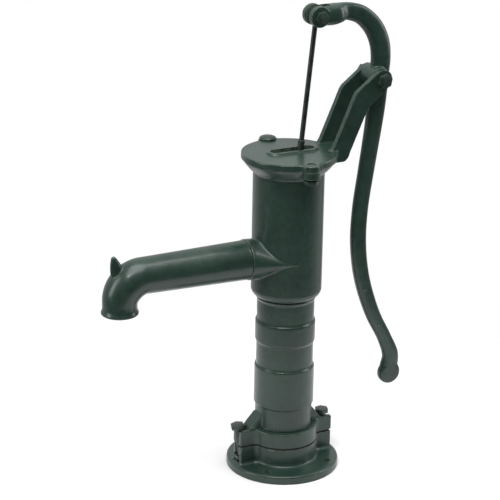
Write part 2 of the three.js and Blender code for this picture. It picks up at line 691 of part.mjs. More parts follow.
function earShape() {
  const front = touchPoint(EAR_FRONT_BEND, PIVOT, EAR_R, 1);
  const rear = touchPoint(EAR_REAR_BEND, PIVOT, EAR_R, -1);
  const frontAngle = Math.atan2(front.z - PIVOT.z, front.x - PIVOT.x);
  const rearAngle = Math.atan2(rear.z - PIVOT.z, rear.x - PIVOT.x);
  const heelR = 6;
  const footX = RIM_R + GAP;
  const shape = new THREE.Shape();
  shape.moveTo(footX, COVER_TOP - EAR_DROP);
  shape.lineTo(EAR_HEEL.x - 2 * heelR, COVER_TOP - EAR_DROP);
  shape.quadraticCurveTo(EAR_HEEL.x - 6, COVER_TOP - EAR_DROP, EAR_HEEL.x, EAR_HEEL.z);
  shape.lineTo(EAR_REAR_BEND.x - 2, EAR_REAR_BEND.z - 5);
  shape.quadraticCurveTo(EAR_REAR_BEND.x, EAR_REAR_BEND.z, EAR_REAR_BEND.x + 5, EAR_REAR_BEND.z + 4);
  shape.absarc(PIVOT.x, PIVOT.z, EAR_R, rearAngle, frontAngle, false);
  shape.lineTo(EAR_FRONT_BEND.x + 4, EAR_FRONT_BEND.z + 4);
  shape.quadraticCurveTo(EAR_FRONT_BEND.x, EAR_FRONT_BEND.z, EAR_FRONT_BEND.x - 2, EAR_FRONT_BEND.z - 5);
  shape.lineTo(EAR_FOOT_X + 5, COVER_TOP + 8);
  shape.lineTo(EAR_FOOT_X, COVER_TOP - 1);
  shape.lineTo(EAR_FOOT_X, COVER_BOTTOM);
  shape.lineTo(footX, COVER_BOTTOM);
  shape.closePath();
  return shape;
}

function cover() {
  const lugs = luggedDisc(COVER_R - 0.5, COVER_LUG_HALF_WIDTH, COVER_BOLT_Y + COVER_LUG_HALF_WIDTH, 10, true);
  const disc = join(
    raised(lugs, COVER_BOTTOM, COVER_TOP, 7).rotate([0, 0, 90]),
    block(0, EAR_HEEL.x - 1, -FORK_HALF_WIDTH, FORK_HALF_WIDTH, COVER_BOTTOM, COVER_TOP),
  );
  const lip = raised(
    slotShape(SLOT_FROM - SLOT_LIP, SLOT_TO + SLOT_LIP, SLOT_HALF_WIDTH + SLOT_LIP),
    COVER_TOP - 1,
    COVER_TOP + SLOT_LIP_RISE,
    10,
  );
  const ears = [-1, 1].map((side) => {
    const inner = side * FORK_HALF_GAP;
    const outer = side * FORK_HALF_WIDTH;
    return plate(earShape(), Math.min(inner, outer), Math.max(inner, outer));
  });
  return cut(
    join(disc, lip, ...ears),
    raised(slotShape(SLOT_FROM, SLOT_TO, SLOT_HALF_WIDTH), COVER_BOTTOM - 1, COVER_TOP + 10, 10),
    discY(M12.r + GAP, -FORK_HALF_WIDTH - 1, FORK_HALF_WIDTH + 1, PIVOT.x, PIVOT.z),
    discZ(M12.r + GAP, COVER_BOTTOM - 1, COVER_TOP + 1, 0, -COVER_BOLT_Y),
    discZ(M12.r + 0.7, COVER_BOTTOM - 1, COVER_TOP + 1, 0, COVER_BOLT_Y),
  );
}

piece("cover_and_fork", cover(), paint);

// The rear cover bolt has a cup head on the cover and a nut under the rim; the front one comes
// up from below and ends in the cover.
const gripLength = COVER_TOP - PAD_BOTTOM;
const rearBolt = piece("cover_bolt_rear", cupBoltSolid(M12, gripLength + M12.nut + 4), steel);
rearBolt.position.set(0, COVER_BOLT_Y, COVER_TOP + GAP);
const rearNut = piece("cover_nut_rear", nutSolid(M12).rotate([180, 0, 0]), steel);
rearNut.position.set(0, COVER_BOLT_Y, PAD_BOTTOM - GAP);
const frontBolt = piece("cover_bolt_front", boltSolid(M12, gripLength - 0.5).rotate([180, 0, 0]), steel);
frontBolt.position.set(0, -COVER_BOLT_Y, PAD_BOTTOM - GAP);

// ---------------------------------------------------------------- handle pivot

const pivotGroup = new THREE.Group();
pivotGroup.position.set(PIVOT.x, 0, PIVOT.z);
pump.add(pivotGroup);
const pivotBolt = piece(
  "pivot_bolt",
  boltSolid(M12, 2 * FORK_HALF_WIDTH + M12.nut + 4).rotate([90, 0, 0]),
  steel,
  pivotGroup,
);
pivotBolt.position.y = -FORK_HALF_WIDTH - GAP;
const pivotNut = piece("pivot_nut", nutSolid(M12).rotate([-90, 0, 0]), steel, pivotGroup);
pivotNut.position.y = FORK_HALF_WIDTH + GAP;

// ---------------------------------------------------------------- handle

// Stations down the handle, each a step in x and z from a pin, then the half width in the plane
// of swing and the half thickness.
function stationsFrom(pin, rows) {
  return rows.map(([dx, dz, width, thick]) => ({ x: pin.x + dx, z: pin.z + dz, width, thick }));
}

const HANDLE_STATIONS = [
  ...stationsFrom(HEAD_PIN, [
    [9, 0, 14.3, CHEEK_HALF_WIDTH],
    [23, 0.3, 13.8, CHEEK_HALF_WIDTH],
    [34, 1.6, 12.8, CHEEK_HALF_WIDTH - 0.7],
    [45, 3, 11.9, 8.8],
    [57, 1.5, 11.8, 7.8],
  ]),
  ...stationsFrom(PIVOT, [
    [-27, 93, 12.4, 7.6],
    [-7, 75, 13.6, 7.6],
    [5, 51, 14.6, 7.6],
    [8, 27, 15, 7.6],
    [6, -1, 15, 7.6],
    [4, -35, 14.4, 7.4],
    [0.5, -70, 13.4, 7.2],
    [-9, -140, 12.1, 7],
    [-16, -195, 11.7, 7],
    [-17.3, -247, 11.6, 7],
    [-9.5, -303, 11.3, 6.8],
    [11, -363, 10.6, 6.8],
    [33, -405, 10.3, 6.8],
    [45.5, -436, 12, 7],
    [44, -454, 15, 7],
  ]),
];

function handleBar() {
  const sides = 16;
  const steps = 40;
  const path = new THREE.CatmullRomCurve3(HANDLE_STATIONS.map(({ x, z }) => new THREE.Vector3(x, 0, z)));
  const size = new THREE.CatmullRomCurve3(
    HANDLE_STATIONS.map(({ width, thick }, i) => new THREE.Vector3(width, thick, i)),
  );
  const rings = [];
  for (let i = 0; i <= steps; i += 1) {
    const t = i / steps;
    const centre = path.getPoint(t);
    const tangent = path.getTangent(t);
    const { x: width, y: thick } = size.getPoint(t);
    const ring = [];
    for (let j = 0; j < sides; j += 1) {
      const angle = (2 * Math.PI * (j + 0.5)) / sides;
      const c = Math.cos(angle);
      const s = Math.sin(angle);
      const scale = (Math.abs(c) ** HANDLE_SECTION_POWER + Math.abs(s) ** HANDLE_SECTION_POWER)
        ** (-1 / HANDLE_SECTION_POWER);
      const across = width * scale * c;
      ring.push(new THREE.Vector3(
        centre.x + across * tangent.z,
        thick * scale * s,
        centre.z - across * tangent.x,
      ));
    }
    rings.push(ring);
  }
  return skin(rings);
}

function handle() {
  const knobEdge = 3;
  const knob = turned([
    [0, -KNOB.halfThickness], [KNOB.r - knobEdge, -KNOB.halfThickness],
    [KNOB.r - 0.8, -KNOB.halfThickness + 1.6], [KNOB.r, -KNOB.halfThickness + knobEdge + 1],
    [KNOB.r, KNOB.halfThickness - knobEdge - 1], [KNOB.r - 0.8, KNOB.halfThickness - 1.6],
    [KNOB.r - knobEdge, KNOB.halfThickness], [0, KNOB.halfThickness],
  ], 28).rotate([90, 0, 0]).translate([KNOB.x, 0, KNOB.z]);
  const hub = discY(HUB_R, -FORK_HALF_GAP + GAP, FORK_HALF_GAP - GAP, PIVOT.x, PIVOT.z, 32);
  const cheeks = discY(CHEEK_R, -CHEEK_HALF_WIDTH, CHEEK_HALF_WIDTH, HEAD_PIN.x, HEAD_PIN.z, 32);
  const slotEnd = HEAD_PIN.x + CHEEK_SLOT_DEPTH;
  const half = CHEEK_GAP / 2;
  return cut(
    join(handleBar(), knob, hub, cheeks),
    block(HEAD_PIN.x - CHEEK_R - 1, slotEnd, -half, half, HEAD_PIN.z - 30, HEAD_PIN.z + 30),
    discY(M10.r + GAP, -CHEEK_HALF_WIDTH - 1, CHEEK_HALF_WIDTH + 1, HEAD_PIN.x, HEAD_PIN.z),
    discY(M12.r + GAP, -FORK_HALF_GAP - 1, FORK_HALF_GAP + 1, PIVOT.x, PIVOT.z),
  );
}

piece("handle", handle(), paint);

const pinGroup = new THREE.Group();
pinGroup.position.set(HEAD_PIN.x, 0, HEAD_PIN.z);
pump.add(pinGroup);
const pinBolt = piece(
  "rod_pin_bolt",
  boltSolid(M10, 2 * CHEEK_HALF_WIDTH + M10.nut + 3).rotate([90, 0, 0]),
  steel,
  pinGroup,
);
pinBolt.position.y = -CHEEK_HALF_WIDTH - GAP;
const pinNut = piece("rod_pin_nut", nutSolid(M10).rotate([-90, 0, 0]), steel, pinGroup);
pinNut.position.y = CHEEK_HALF_WIDTH + GAP;

// ---------------------------------------------------------------- pump rod

// The rod hangs from the head pin and leans in to the pump's axis.
const rodGroup = new THREE.Group();
rodGroup.position.set(HEAD_PIN.x, 0, HEAD_PIN.z);
rodGroup.rotation.y = ROD_TILT;
pump.add(rodGroup);

piece("eye_rod", cut(
  join(
    discY(EYE_R, -EYE_THICKNESS / 2, EYE_THICKNESS / 2, 0, 0, 28),
    discZ(UPPER_ROD_R, -UPPER_ROD_LENGTH - ROD_THREAD, -EYE_R + 2, 0, 0),
  ),
  discY(M10.r + GAP, -EYE_THICKNESS, EYE_THICKNESS),
), steel, rodGroup);

function loopRod() {
  const loop = solid(new THREE.TorusGeometry(LOOP_R, LOOP_BAR_R, 8, 24)
    .rotateX(Math.PI / 2)
    .translate(0, 0, -ROD_LENGTH));
  const shank = discZ(LOWER_ROD_R, -ROD_LENGTH + LOOP_R, -UPPER_ROD_LENGTH);
  const thread = discZ(UPPER_ROD_R + GAP, -UPPER_ROD_LENGTH - ROD_THREAD - GAP, -UPPER_ROD_LENGTH + 1);
  return cut(join(loop, shank), thread);
}

piece("loop_rod", loopRod(), steel, rodGroup);

// ---------------------------------------------------------------- piston

const clampTop = PISTON_BOTTOM + CLAMP_HEIGHT;
const cupBottom = clampTop + GAP;
const cupTop = cupBottom + CUP_THICKNESS;
const flangeBottom = cupTop + GAP;
const cupOuterR = BORE_R - GAP;
const cupSpigotR = PISTON_SPIGOT_R + GAP;

piece("piston_clamp_ring", turnedRing([
  [cupSpigotR, PISTON_BOTTOM], [PISTON_R - 2, PISTON_BOTTOM], [PISTON_R, PISTON_BOTTOM + 2],
  [PISTON_R, clampTop], [cupSpigotR, clampTop],
], 32), rawIron);

piece("cup_leather", turnedRing([
  [cupSpigotR, cupBottom], [cupOuterR - 2, cupBottom], [cupOuterR, cupBottom + 2],
  [cupOuterR, cupBottom + CUP_LIP_HEIGHT], [cupOuterR - 2, cupBottom + CUP_LIP_HEIGHT],
  [cupOuterR - CUP_THICKNESS, cupTop], [cupSpigotR, cupTop],
], ROUND), leather);

function pistonBody() {
  const core = turned([
    [0, PISTON_BOTTOM], [PISTON_SPIGOT_R, PISTON_BOTTOM], [PISTON_SPIGOT_R, flangeBottom],
    [PISTON_R, flangeBottom], [PISTON_R, PISTON_FLANGE_TOP - 4],
    [PISTON_R - 4, PISTON_FLANGE_TOP], [0, PISTON_FLANGE_TOP],
  ], 32);
  const legTop = GUDGEON_Z + LEG_HALF_WIDTH;
  const legs = [-1, 1].map((side) => {
    const inner = (side * LEG_GAP) / 2;
    const outer = inner + side * LEG_THICKNESS;
    const [y0, y1] = [Math.min(inner, outer), Math.max(inner, outer)];
    return join(
      block(-LEG_HALF_WIDTH, LEG_HALF_WIDTH, y0, y1, PISTON_FLANGE_TOP - 2, legTop - LEG_HALF_WIDTH),
      discY(LEG_HALF_WIDTH, y0, y1, 0, GUDGEON_Z, 24),
    );
  });
  return cut(
    join(core, ...legs),
    discZ(PISTON_PORT_R, PISTON_BOTTOM - 1, PISTON_FLANGE_TOP + 1, 0, 0, 28),
    discY(GUDGEON_R + GAP, -LEG_GAP, LEG_GAP, 0, GUDGEON_Z),
  );
}

piece("piston_body", pistonBody(), rawIron);

const gudgeonHalf = LEG_GAP / 2 + LEG_THICKNESS + 3;
piece("gudgeon_pin", discY(GUDGEON_R, -gudgeonHalf, gudgeonHalf, 0, GUDGEON_Z), steel);

const poppetBottom = PISTON_FLANGE_TOP + GAP;
const poppetHalf = LEG_GAP / 2 - 1;
piece("piston_valve", cut(
  join(
    turned([
      [0, poppetBottom], [POPPET_R, poppetBottom], [POPPET_R, poppetBottom + POPPET_THICKNESS - 2],
      [POPPET_R - 2, poppetBottom + POPPET_THICKNESS], [0, poppetBottom + POPPET_THICKNESS],
    ], 32),
    discZ(POPPET_STEM_R, PISTON_BOTTOM + 2, poppetBottom + 1, 0, 0, 16),
  ),
  block(-POPPET_R - 1, POPPET_R + 1, poppetHalf, POPPET_R + 1, poppetBottom - 1, poppetBottom + 20),
  block(-POPPET_R - 1, POPPET_R + 1, -POPPET_R - 1, -poppetHalf, poppetBottom - 1, poppetBottom + 20),
), brass);

export default pump;
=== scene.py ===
# %% [markdown]
# # A cast-iron hand well pump
#
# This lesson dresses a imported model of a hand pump. The frame gives the bodies and the solids
# that the physics uses; each casting, bolt and rod is then made again in fine mesh, finished
# in dark green enamel, and tied to the body it moves with.

import math

import bmesh
import bpy
from mathutils import Matrix, Vector


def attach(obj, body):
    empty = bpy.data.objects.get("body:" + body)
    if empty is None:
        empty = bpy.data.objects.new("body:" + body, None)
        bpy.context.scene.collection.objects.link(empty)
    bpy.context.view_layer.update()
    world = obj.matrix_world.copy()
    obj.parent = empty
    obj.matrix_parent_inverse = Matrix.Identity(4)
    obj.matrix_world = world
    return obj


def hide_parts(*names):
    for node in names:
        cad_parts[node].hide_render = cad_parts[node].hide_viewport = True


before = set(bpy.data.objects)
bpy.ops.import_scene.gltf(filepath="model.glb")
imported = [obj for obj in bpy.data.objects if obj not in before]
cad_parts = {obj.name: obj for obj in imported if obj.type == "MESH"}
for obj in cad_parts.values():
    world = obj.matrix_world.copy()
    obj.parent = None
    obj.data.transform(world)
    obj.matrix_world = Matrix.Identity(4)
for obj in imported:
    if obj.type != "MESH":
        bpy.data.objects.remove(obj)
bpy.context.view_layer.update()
scene = bpy.context.scene

# %% [markdown]
# ## A hand for building node trees
#
# Shader trees and Geometry Nodes trees are built the same way, so one small class serves both.
# `Value` wraps the socket that a node gives out, and an expression such as `1 - mask * 0.3`
# adds its Math nodes by itself. `Graph.node` adds any other node from its type, its settings
# and its inputs. This keeps a tree as short as the sum it stands for.


# %% Values and graphs
class Value:
    """A socket in a tree. Arithmetic on it adds Math nodes."""

    def __init__(self, graph, node, socket):
        self.graph = graph
        self.node = node
        self.socket = socket

    def out(self, name):
        return Value(self.graph, self.node, self.node.outputs[name])

    def math(self, operation, *others):
        values = dict(enumerate((self, *others)))
        return self.graph.node("ShaderNodeMath", {"operation": operation}, values)

    def vector(self, operation, *others):
        values = dict(enumerate((self, *others)))
        return self.graph.node("ShaderNodeVectorMath", {"operation": operation}, values)

    def __add__(self, other):
        return self.math("ADD", other)

    def __radd__(self, other):
        return self.math("ADD", other)

    def __sub__(self, other):
        return self.math("SUBTRACT", other)

    def __rsub__(self, other):
        return self.graph.node("ShaderNodeMath", {"operation": "SUBTRACT"}, {0: other, 1: self})

    def __mul__(self, other):
        return self.math("MULTIPLY", other)

    def __rmul__(self, other):
        return self.math("MULTIPLY", other)

    def __truediv__(self, other):
        return self.math("DIVIDE", other)

    def __rtruediv__(self, other):
        return self.graph.node("ShaderNodeMath", {"operation": "DIVIDE"}, {0: other, 1: self})

    def __pow__(self, other):
        return self.math("POWER", other)


class Graph:
    """A node tree and the one method that adds to it."""

    def __init__(self, tree):
        self.tree = tree

    def node(self, kind, settings=None, inputs=None, output=0):
        made = self.tree.nodes.new(kind)
        for key, value in (settings or {}).items():
            setattr(made, key, value)
        for key, value in (inputs or {}).items():
            if isinstance(value, Value):
                self.tree.links.new(value.socket, made.inputs[key])
            else:
                made.inputs[key].default_value = value
        if not made.outputs:
            return made
        return Value(self, made, made.outputs[output])


def geometry_tree(name, inputs):
    """An empty Geometry Nodes tree with a mesh coming in and these named inputs."""
    tree = bpy.data.node_groups.new(name, "GeometryNodeTree")
    tree.interface.new_socket("Geometry", in_out="INPUT", socket_type="NodeSocketGeometry")
    for label, kind in inputs.items():
        tree.interface.new_socket(label, in_out="INPUT", socket_type=kind)
    tree.interface.new_socket("Geometry", in_out="OUTPUT", socket_type="NodeSocketGeometry")
    graph = Graph(tree)
    return graph, graph.node("NodeGroupInput")


def close_tree(graph, geometry, material):
    """The last steps of every tree: real geometry instead of instances, and its finish."""
    real = graph.node("GeometryNodeRealizeInstances", inputs={0: geometry})
    dressed = graph.node("GeometryNodeSetMaterial", inputs={"Geometry": real, "Material": material})
    graph.node("NodeGroupOutput", inputs={0: dressed})
    print("tree:", graph.tree.name, "with", len(graph.tree.nodes), "nodes")
    return graph.tree


# %% [markdown]
# ## From modifiers to plain mesh
#
# Every piece ends as one plain mesh whose object sits at the origin. `settle` evaluates what the
# modifiers make and keeps only that. Sizes in this lesson are written in millimetres, as on a
# drawing, and turned into metres when the mesh is made.

# %% Mesh helpers
MM = 0.001


def mesh_object(name, points, faces=(), edges=()):
    """A new object at the origin from points in millimetres."""
    mesh = bpy.data.meshes.new(name)
    mesh.from_pydata([Vector(p) * MM for p in points], edges, faces)
    obj = bpy.data.objects.new(name, mesh)
    scene.collection.objects.link(obj)
    return obj


def settle(obj):
    """Turns the modifiers' result into the object's own plain mesh."""
    bpy.context.view_layer.update()
    evaluated = obj.evaluated_get(bpy.context.evaluated_depsgraph_get())
    mesh = bpy.data.meshes.new_from_object(evaluated)
    old = obj.data
    obj.modifiers.clear()
    obj.data = mesh
    mesh.name = obj.name
    bpy.data.meshes.remove(old)
    return obj


def tidy(obj):
    """Closes seams and poles, then turns every face outwards."""
    work = bmesh.new()
    work.from_mesh(obj.data)
    bmesh.ops.remove_doubles(work, verts=work.verts, dist=1e-6)
    bmesh.ops.dissolve_degenerate(work, edges=work.edges, dist=1e-7)
    bmesh.ops.recalc_face_normals(work, faces=work.faces)
    work.to_mesh(obj.data)
    work.free()
    return obj


def run_tree(obj, tree, values):
    """Runs a Geometry Nodes tree on an object and keeps the plain mesh that it gives."""
    modifier = obj.modifiers.new(tree.name, "NODES")
    modifier.node_group = tree
    for item in tree.interface.items_tree:
        if item.in_out == "INPUT" and item.name in values:
            modifier[item.identifier] = values[item.name]
    return settle(obj)


def rotation(degrees, axis):
    return Matrix.Rotation(math.radians(degrees), 4, axis)


def offset(x, y, z):
    """A move, in millimetres."""
    return Matrix.Translation(Vector((x, y, z)) * MM)


def place(obj, *matrices):
    """Turns and moves the mesh itself, one matrix after another: the object stays at the origin."""
    for matrix in matrices:
        obj.data.transform(matrix)
    return obj


def merge(name, objects, finish):
    """Puts several meshes into one object with one finish, overlaps and all."""
    work = bmesh.new()
    for obj in objects:
        work.from_mesh(obj.data)
        bpy.data.objects.remove(obj)
    mesh = bpy.data.meshes.new(name)
    work.to_mesh(mesh)
    work.free()
    mesh.materials.append(finish)
    merged = bpy.data.objects.new(name, mesh)
    scene.collection.objects.link(merged)
    return merged


# %% [markdown]
# ## The finishes
#
# The pump is dipped or brushed in dark green enamel over rough sand-cast iron. The enamel is
# glossy but never mirror-smooth: it follows the grain of the sand, and it lies a little
# thinner on edges and thicker in corners. A lighter green on sharp edges stands for that thin
# paint and is also a painted highlight. Colour, roughness and a bump come from noise on Object
# coordinates, and the edges from the mesh's pointiness, so the finish stays on the piece in
# every pose.


# %% The enamel
def new_material(name):
    material = bpy.data.materials.new(name)
    material.use_nodes = True
    material.node_tree.nodes.clear()
    return material, Graph(material.node_tree)


def noise(graph, place_on_object, scale, detail, roughness):
    inputs = {"Vector": place_on_object, "Scale": scale, "Detail": detail, "Roughness": roughness}
    return graph.node("ShaderNodeTexNoise", inputs=inputs)


def blend_colours(graph, factor, first, second):
    return graph.node("ShaderNodeMix", {"data_type": "RGBA"}, {0: factor, 6: first, 7: second}, 2)


def soft_step(graph, value, low, high):
    inputs = {"Value": value, "From Min": low, "From Max": high}
    return graph.node("ShaderNodeMapRange", {"interpolation_type": "SMOOTHSTEP"}, inputs)


def enamel(name, deep, light, thin_paint_and_highlight, gloss, grain):
    """Enamel over cast iron: two greens, a lighter edge green for thin paint and painted highlight, and a
    sandy bump.
    """
    material, graph = new_material(name)
    spot = graph.node("ShaderNodeTexCoord").out("Object")
    clouds = noise(graph, spot, 14.0, 4.0, 0.55)
    streaks = noise(graph, spot, 95.0, 3.0, 0.6)
    sand = noise(graph, spot, 420.0, 4.0, 0.6)
    lumps = noise(graph, spot, 110.0, 2.0, 0.45)
    edge = soft_step(graph, graph.node("ShaderNodeNewGeometry").out("Pointiness"), 0.515, 0.56)
    tone = soft_step(graph, clouds, 0.3, 0.7) * 0.65 + soft_step(graph, streaks, 0.35, 0.7) * 0.35
    colour = blend_colours(graph, tone, deep, light)
    # Painted highlight: sharp edges turn a lighter green in broken streaks, which also stands for paint
    # lying thin there.
    colour = blend_colours(graph, edge * soft_step(graph, streaks, 0.3, 0.6) * 0.5, colour, thin_paint_and_highlight)
    rough = gloss + (streaks - 0.5) * 0.16 + (sand - 0.5) * 0.10
    height = lumps * 0.7 + sand * 0.3
    bump = graph.node(
        "ShaderNodeBump", inputs={"Strength": grain, "Distance": 0.0006, "Height": height}
    )
    shader = graph.node(
        "ShaderNodeBsdfPrincipled",
        inputs={"Base Color": colour, "Roughness": rough, "Normal": bump, "Coat Roughness": 0.12,
                "Coat Weight": 0.12, "Specular IOR Level": 0.45},
    )
    graph.node("ShaderNodeOutputMaterial", inputs={"Surface": shader})
    print("finish:", name)
    return material


GREEN_DEEP = (0.013, 0.031, 0.023, 1)
GREEN_LIGHT = (0.025, 0.054, 0.041, 1)
# The lighter green for the edges: a painted highlight, also standing for thin paint.
GREEN_THIN_PAINT_AND_HIGHLIGHT = (0.14, 0.18, 0.145, 1)
green_enamel = enamel("green_enamel", GREEN_DEEP, GREEN_LIGHT, GREEN_THIN_PAINT_AND_HIGHLIGHT, 0.33, 0.35)

# %% [markdown]
# ## Painted steel, bare iron, leather and brass
#
# The bolts carry a thinner, darker coat of the same paint. Inside, the pump has bare iron for
# the piston, brass for its valve, and oiled leather for the cup, the flap and the gasket.


# %% The other finishes
def metal(name, dark, light, rough, metallic, scale, grain):
    """A worked metal or thin paint: blotches of two tones, uneven roughness, a fine bump."""
    material, graph = new_material(name)
    spot = graph.node("ShaderNodeTexCoord").out("Object")
    blotches = noise(graph, spot, scale, 5.0, 0.6)
    fine = noise(graph, spot, scale * 9.0, 3.0, 0.6)
    colour = blend_colours(graph, soft_step(graph, blotches, 0.3, 0.72), dark, light)
    bump = graph.node("ShaderNodeBump", inputs={"Strength": grain, "Distance": 0.0003, "Height": fine})
    shader = graph.node(
        "ShaderNodeBsdfPrincipled",
        inputs={"Base Color": colour, "Roughness": rough + (blotches - 0.5) * 0.25,
                "Metallic": metallic, "Normal": bump},
    )
    graph.node("ShaderNodeOutputMaterial", inputs={"Surface": shader})
    print("finish:", name)
    return material


def oiled_leather(name, dark, light):
    material, graph = new_material(name)
    spot = graph.node("ShaderNodeTexCoord").out("Object")
    cells = graph.node("ShaderNodeTexVoronoi", inputs={"Vector": spot, "Scale": 900.0})
    stain = noise(graph, spot, 60.0, 4.0, 0.6)
    colour = blend_colours(graph, soft_step(graph, stain, 0.3, 0.7), dark, light)
    bump = graph.node(
        "ShaderNodeBump", inputs={"Strength": 0.5, "Distance": 0.0003, "Height": cells.out("Distance")}
    )
    shader = graph.node(
        "ShaderNodeBsdfPrincipled",
        inputs={"Base Color": colour, "Roughness": 0.45 + (stain - 0.5) * 0.3, "Normal": bump},
    )
    graph.node("ShaderNodeOutputMaterial", inputs={"Surface": shader})
    print("finish:", name)
    return material


fastener_paint = metal(
    "fastener_paint", (0.010, 0.022, 0.017, 1), (0.032, 0.052, 0.041, 1), 0.36, 0.0, 160.0, 0.35
)
rod_paint = metal(
    "rod_paint", (0.006, 0.010, 0.008, 1), (0.017, 0.026, 0.021, 1), 0.42, 0.0, 90.0, 0.3
)
bare_iron = metal(
    "bare_iron", (0.055, 0.050, 0.046, 1), (0.16, 0.15, 0.14, 1), 0.5, 0.85, 120.0, 0.5
)
valve_brass = metal(
    "valve_brass", (0.30, 0.19, 0.06, 1), (0.56, 0.39, 0.15, 1), 0.34, 1.0, 80.0, 0.2
)
pump_leather = oiled_leather("pump_leather", (0.035, 0.016, 0.007, 1), (0.11, 0.052, 0.022, 1))
gasket_leather = oiled_leather("gasket_leather", (0.004, 0.005, 0.004, 1), (0.014, 0.013, 0.010, 1))

# %% [markdown]
# ## Round pieces: a lathe in Geometry Nodes
#
# Barrel, base disc, reservoir and knob are all turned shapes: a profile goes round an axis. The
# tree lays a grid, one row for each point of the profile, and bends the grid round the axis.
# The number of sides is an input, so the same profile can be coarse or fine.


# %% The lathe tree
def lathe_tree():
    graph, given = geometry_tree(
        "Turn on a lathe", {"Sides": "NodeSocketInt", "Finish": "NodeSocketMaterial"}
    )
    profile = given.out("Geometry")
    points = graph.node("GeometryNodeAttributeDomainSize", inputs={0: profile})
    sides = given.out("Sides")
    grid = graph.node(
        "GeometryNodeMeshGrid", inputs={"Vertices X": sides + 1, "Vertices Y": points}
    )
    index = graph.node("GeometryNodeInputIndex")
    column = (index / points).math("FLOOR")
    row = index.math("MODULO", points)
    angle = column / sides * math.tau
    where = graph.node(
        "GeometryNodeSampleIndex",
        {"data_type": "FLOAT_VECTOR"},
        {"Geometry": profile, "Value": graph.node("GeometryNodeInputPosition"), "Index": row},
    )
    parts = graph.node("ShaderNodeSeparateXYZ", inputs={0: where})
    radius = parts.out("X")
    turned = graph.node(
        "ShaderNodeCombineXYZ",
        inputs={0: radius * angle.math("COSINE"), 1: radius * angle.math("SINE"), 2: parts.out("Z")},
    )
    bent = graph.node("GeometryNodeSetPosition", inputs={"Geometry": grid, "Position": turned})
    seamless = graph.node("GeometryNodeMergeByDistance", inputs={"Geometry": bent, "Distance": 1e-6})
    return close_tree(graph, seamless, given.out("Finish"))


LATHE = lathe_tree()


def turned(name, profile, sides=160, finish=green_enamel):
    """Turns [radius, height] points round Z. A profile that starts and ends on the axis is solid."""
    points = [(r, 0, z) for r, z in profile]
    obj = mesh_object(name, points, edges=[(i, i + 1) for i in range(len(points) - 1)])
    return tidy(run_tree(obj, LATHE, {"Sides": sides, "Finish": finish}))


# %% [markdown]
# ## Bars and pipes: one sweep in Geometry Nodes
#
# The handle, the spout and the rods all follow a path in the pump's plane of symmetry, with a
# section that changes on the way. Each point of the path carries its half width, in the plane,
# and its half thickness, across it. The section is a superellipse: power 2 is round, a higher
# power is squarer, as the handle's is.


# %% The sweep tree
def sweep_tree():
    graph, given = geometry_tree(
        "Sweep along a path",
        {"Sides": "NodeSocketInt", "Squareness": "NodeSocketFloat", "Finish": "NodeSocketMaterial"},
    )
    path = graph.node("GeometryNodeMeshToCurve", inputs={"Mesh": given.out("Geometry")})
    centre = graph.node("GeometryNodeCaptureAttribute", inputs={"Geometry": path})
    centre.node.capture_items.new("VECTOR", "Centre")
    centre.node.capture_items.new("VECTOR", "Along")
    position = graph.node("GeometryNodeInputPosition")
    tangent = graph.node("GeometryNodeInputTangent")
    graph.tree.links.new(position.socket, centre.node.inputs["Centre"])
    graph.tree.links.new(tangent.socket, centre.node.inputs["Along"])
    circle = graph.node(
        "GeometryNodeCurvePrimitiveCircle", inputs={"Resolution": given.out("Sides"), "Radius": 1.0}
    )
    section = graph.node("GeometryNodeCaptureAttribute", inputs={"Geometry": circle})
    section.node.capture_items.new("VECTOR", "Round")
    graph.tree.links.new(position.socket, section.node.inputs["Round"])
    tube = graph.node(
        "GeometryNodeCurveToMesh",
        inputs={"Curve": centre, "Profile Curve": section, "Fill Caps": True},
    )
    parts = graph.node("ShaderNodeSeparateXYZ", inputs={0: section.out("Round")})
    across, over = parts.out("X"), parts.out("Y")
    power = given.out("Squareness")
    reach = (across.math("ABSOLUTE") ** power + over.math("ABSOLUTE") ** power) ** (-1 / power)
    width = graph.node("GeometryNodeInputNamedAttribute", inputs={"Name": "half_width"})
    thick = graph.node("GeometryNodeInputNamedAttribute", inputs={"Name": "half_thick"})
    side = centre.out("Along").vector("CROSS_PRODUCT", (0.0, 1.0, 0.0))
    in_plane = side.vector("SCALE")
    in_plane.node.inputs["Scale"].default_value = 1.0
    graph.tree.links.new((across * reach * width).socket, in_plane.node.inputs["Scale"])
    sideways = graph.node("ShaderNodeCombineXYZ", inputs={1: over * reach * thick})
    place_at = centre.out("Centre").vector("ADD", in_plane).vector("ADD", sideways)
    shaped = graph.node("GeometryNodeSetPosition", inputs={"Geometry": tube, "Position": place_at})
    return close_tree(graph, shaped, given.out("Finish"))


SWEEP = sweep_tree()


def swept(name, stations, sides=48, squareness=2.0, closed=False, finish=green_enamel):
    """Sweeps a section along [x, z, half width, half thickness] stations, in the XZ plane."""
    count = len(stations)
    edges = [(i, i + 1) for i in range(count - 1)]
    if closed:
        edges.append((count - 1, 0))
    obj = mesh_object(name, [(x, 0, z) for x, z, _, _ in stations], edges=edges)
    for label, column in (("half_width", 2), ("half_thick", 3)):
        sizes = obj.data.attributes.new(label, "FLOAT", "POINT")
        sizes.data.foreach_set("value", [station[column] * MM for station in stations])
    obj = run_tree(obj, SWEEP, {"Sides": sides, "Squareness": squareness, "Finish": finish})
    return tidy(obj)


def round_bar(name, path, radius, sides=32, closed=False, finish=green_enamel):
    """A round bar of one radius along [x, z] points."""
    return swept(name, [(x, z, radius, radius) for x, z in path], sides, 2.0, closed, finish)


# %% [markdown]
# ## Sand-cast skin
#
# A casting has no sharp outside edges: the corners of the mould wash away and the paint fills
# the rest. Rather than bevel every edge, the rough shapes are simply pushed into each other,
# remeshed as one skin of small squares, and smoothed a little. That rounds the edges and gives
# every inside corner its fillet. A last tree moves the skin in and out by about a tenth of a
# millimetre, as sand does. Holes and faces that a lathe or drill has cut come afterwards, so
# they stay crisp.


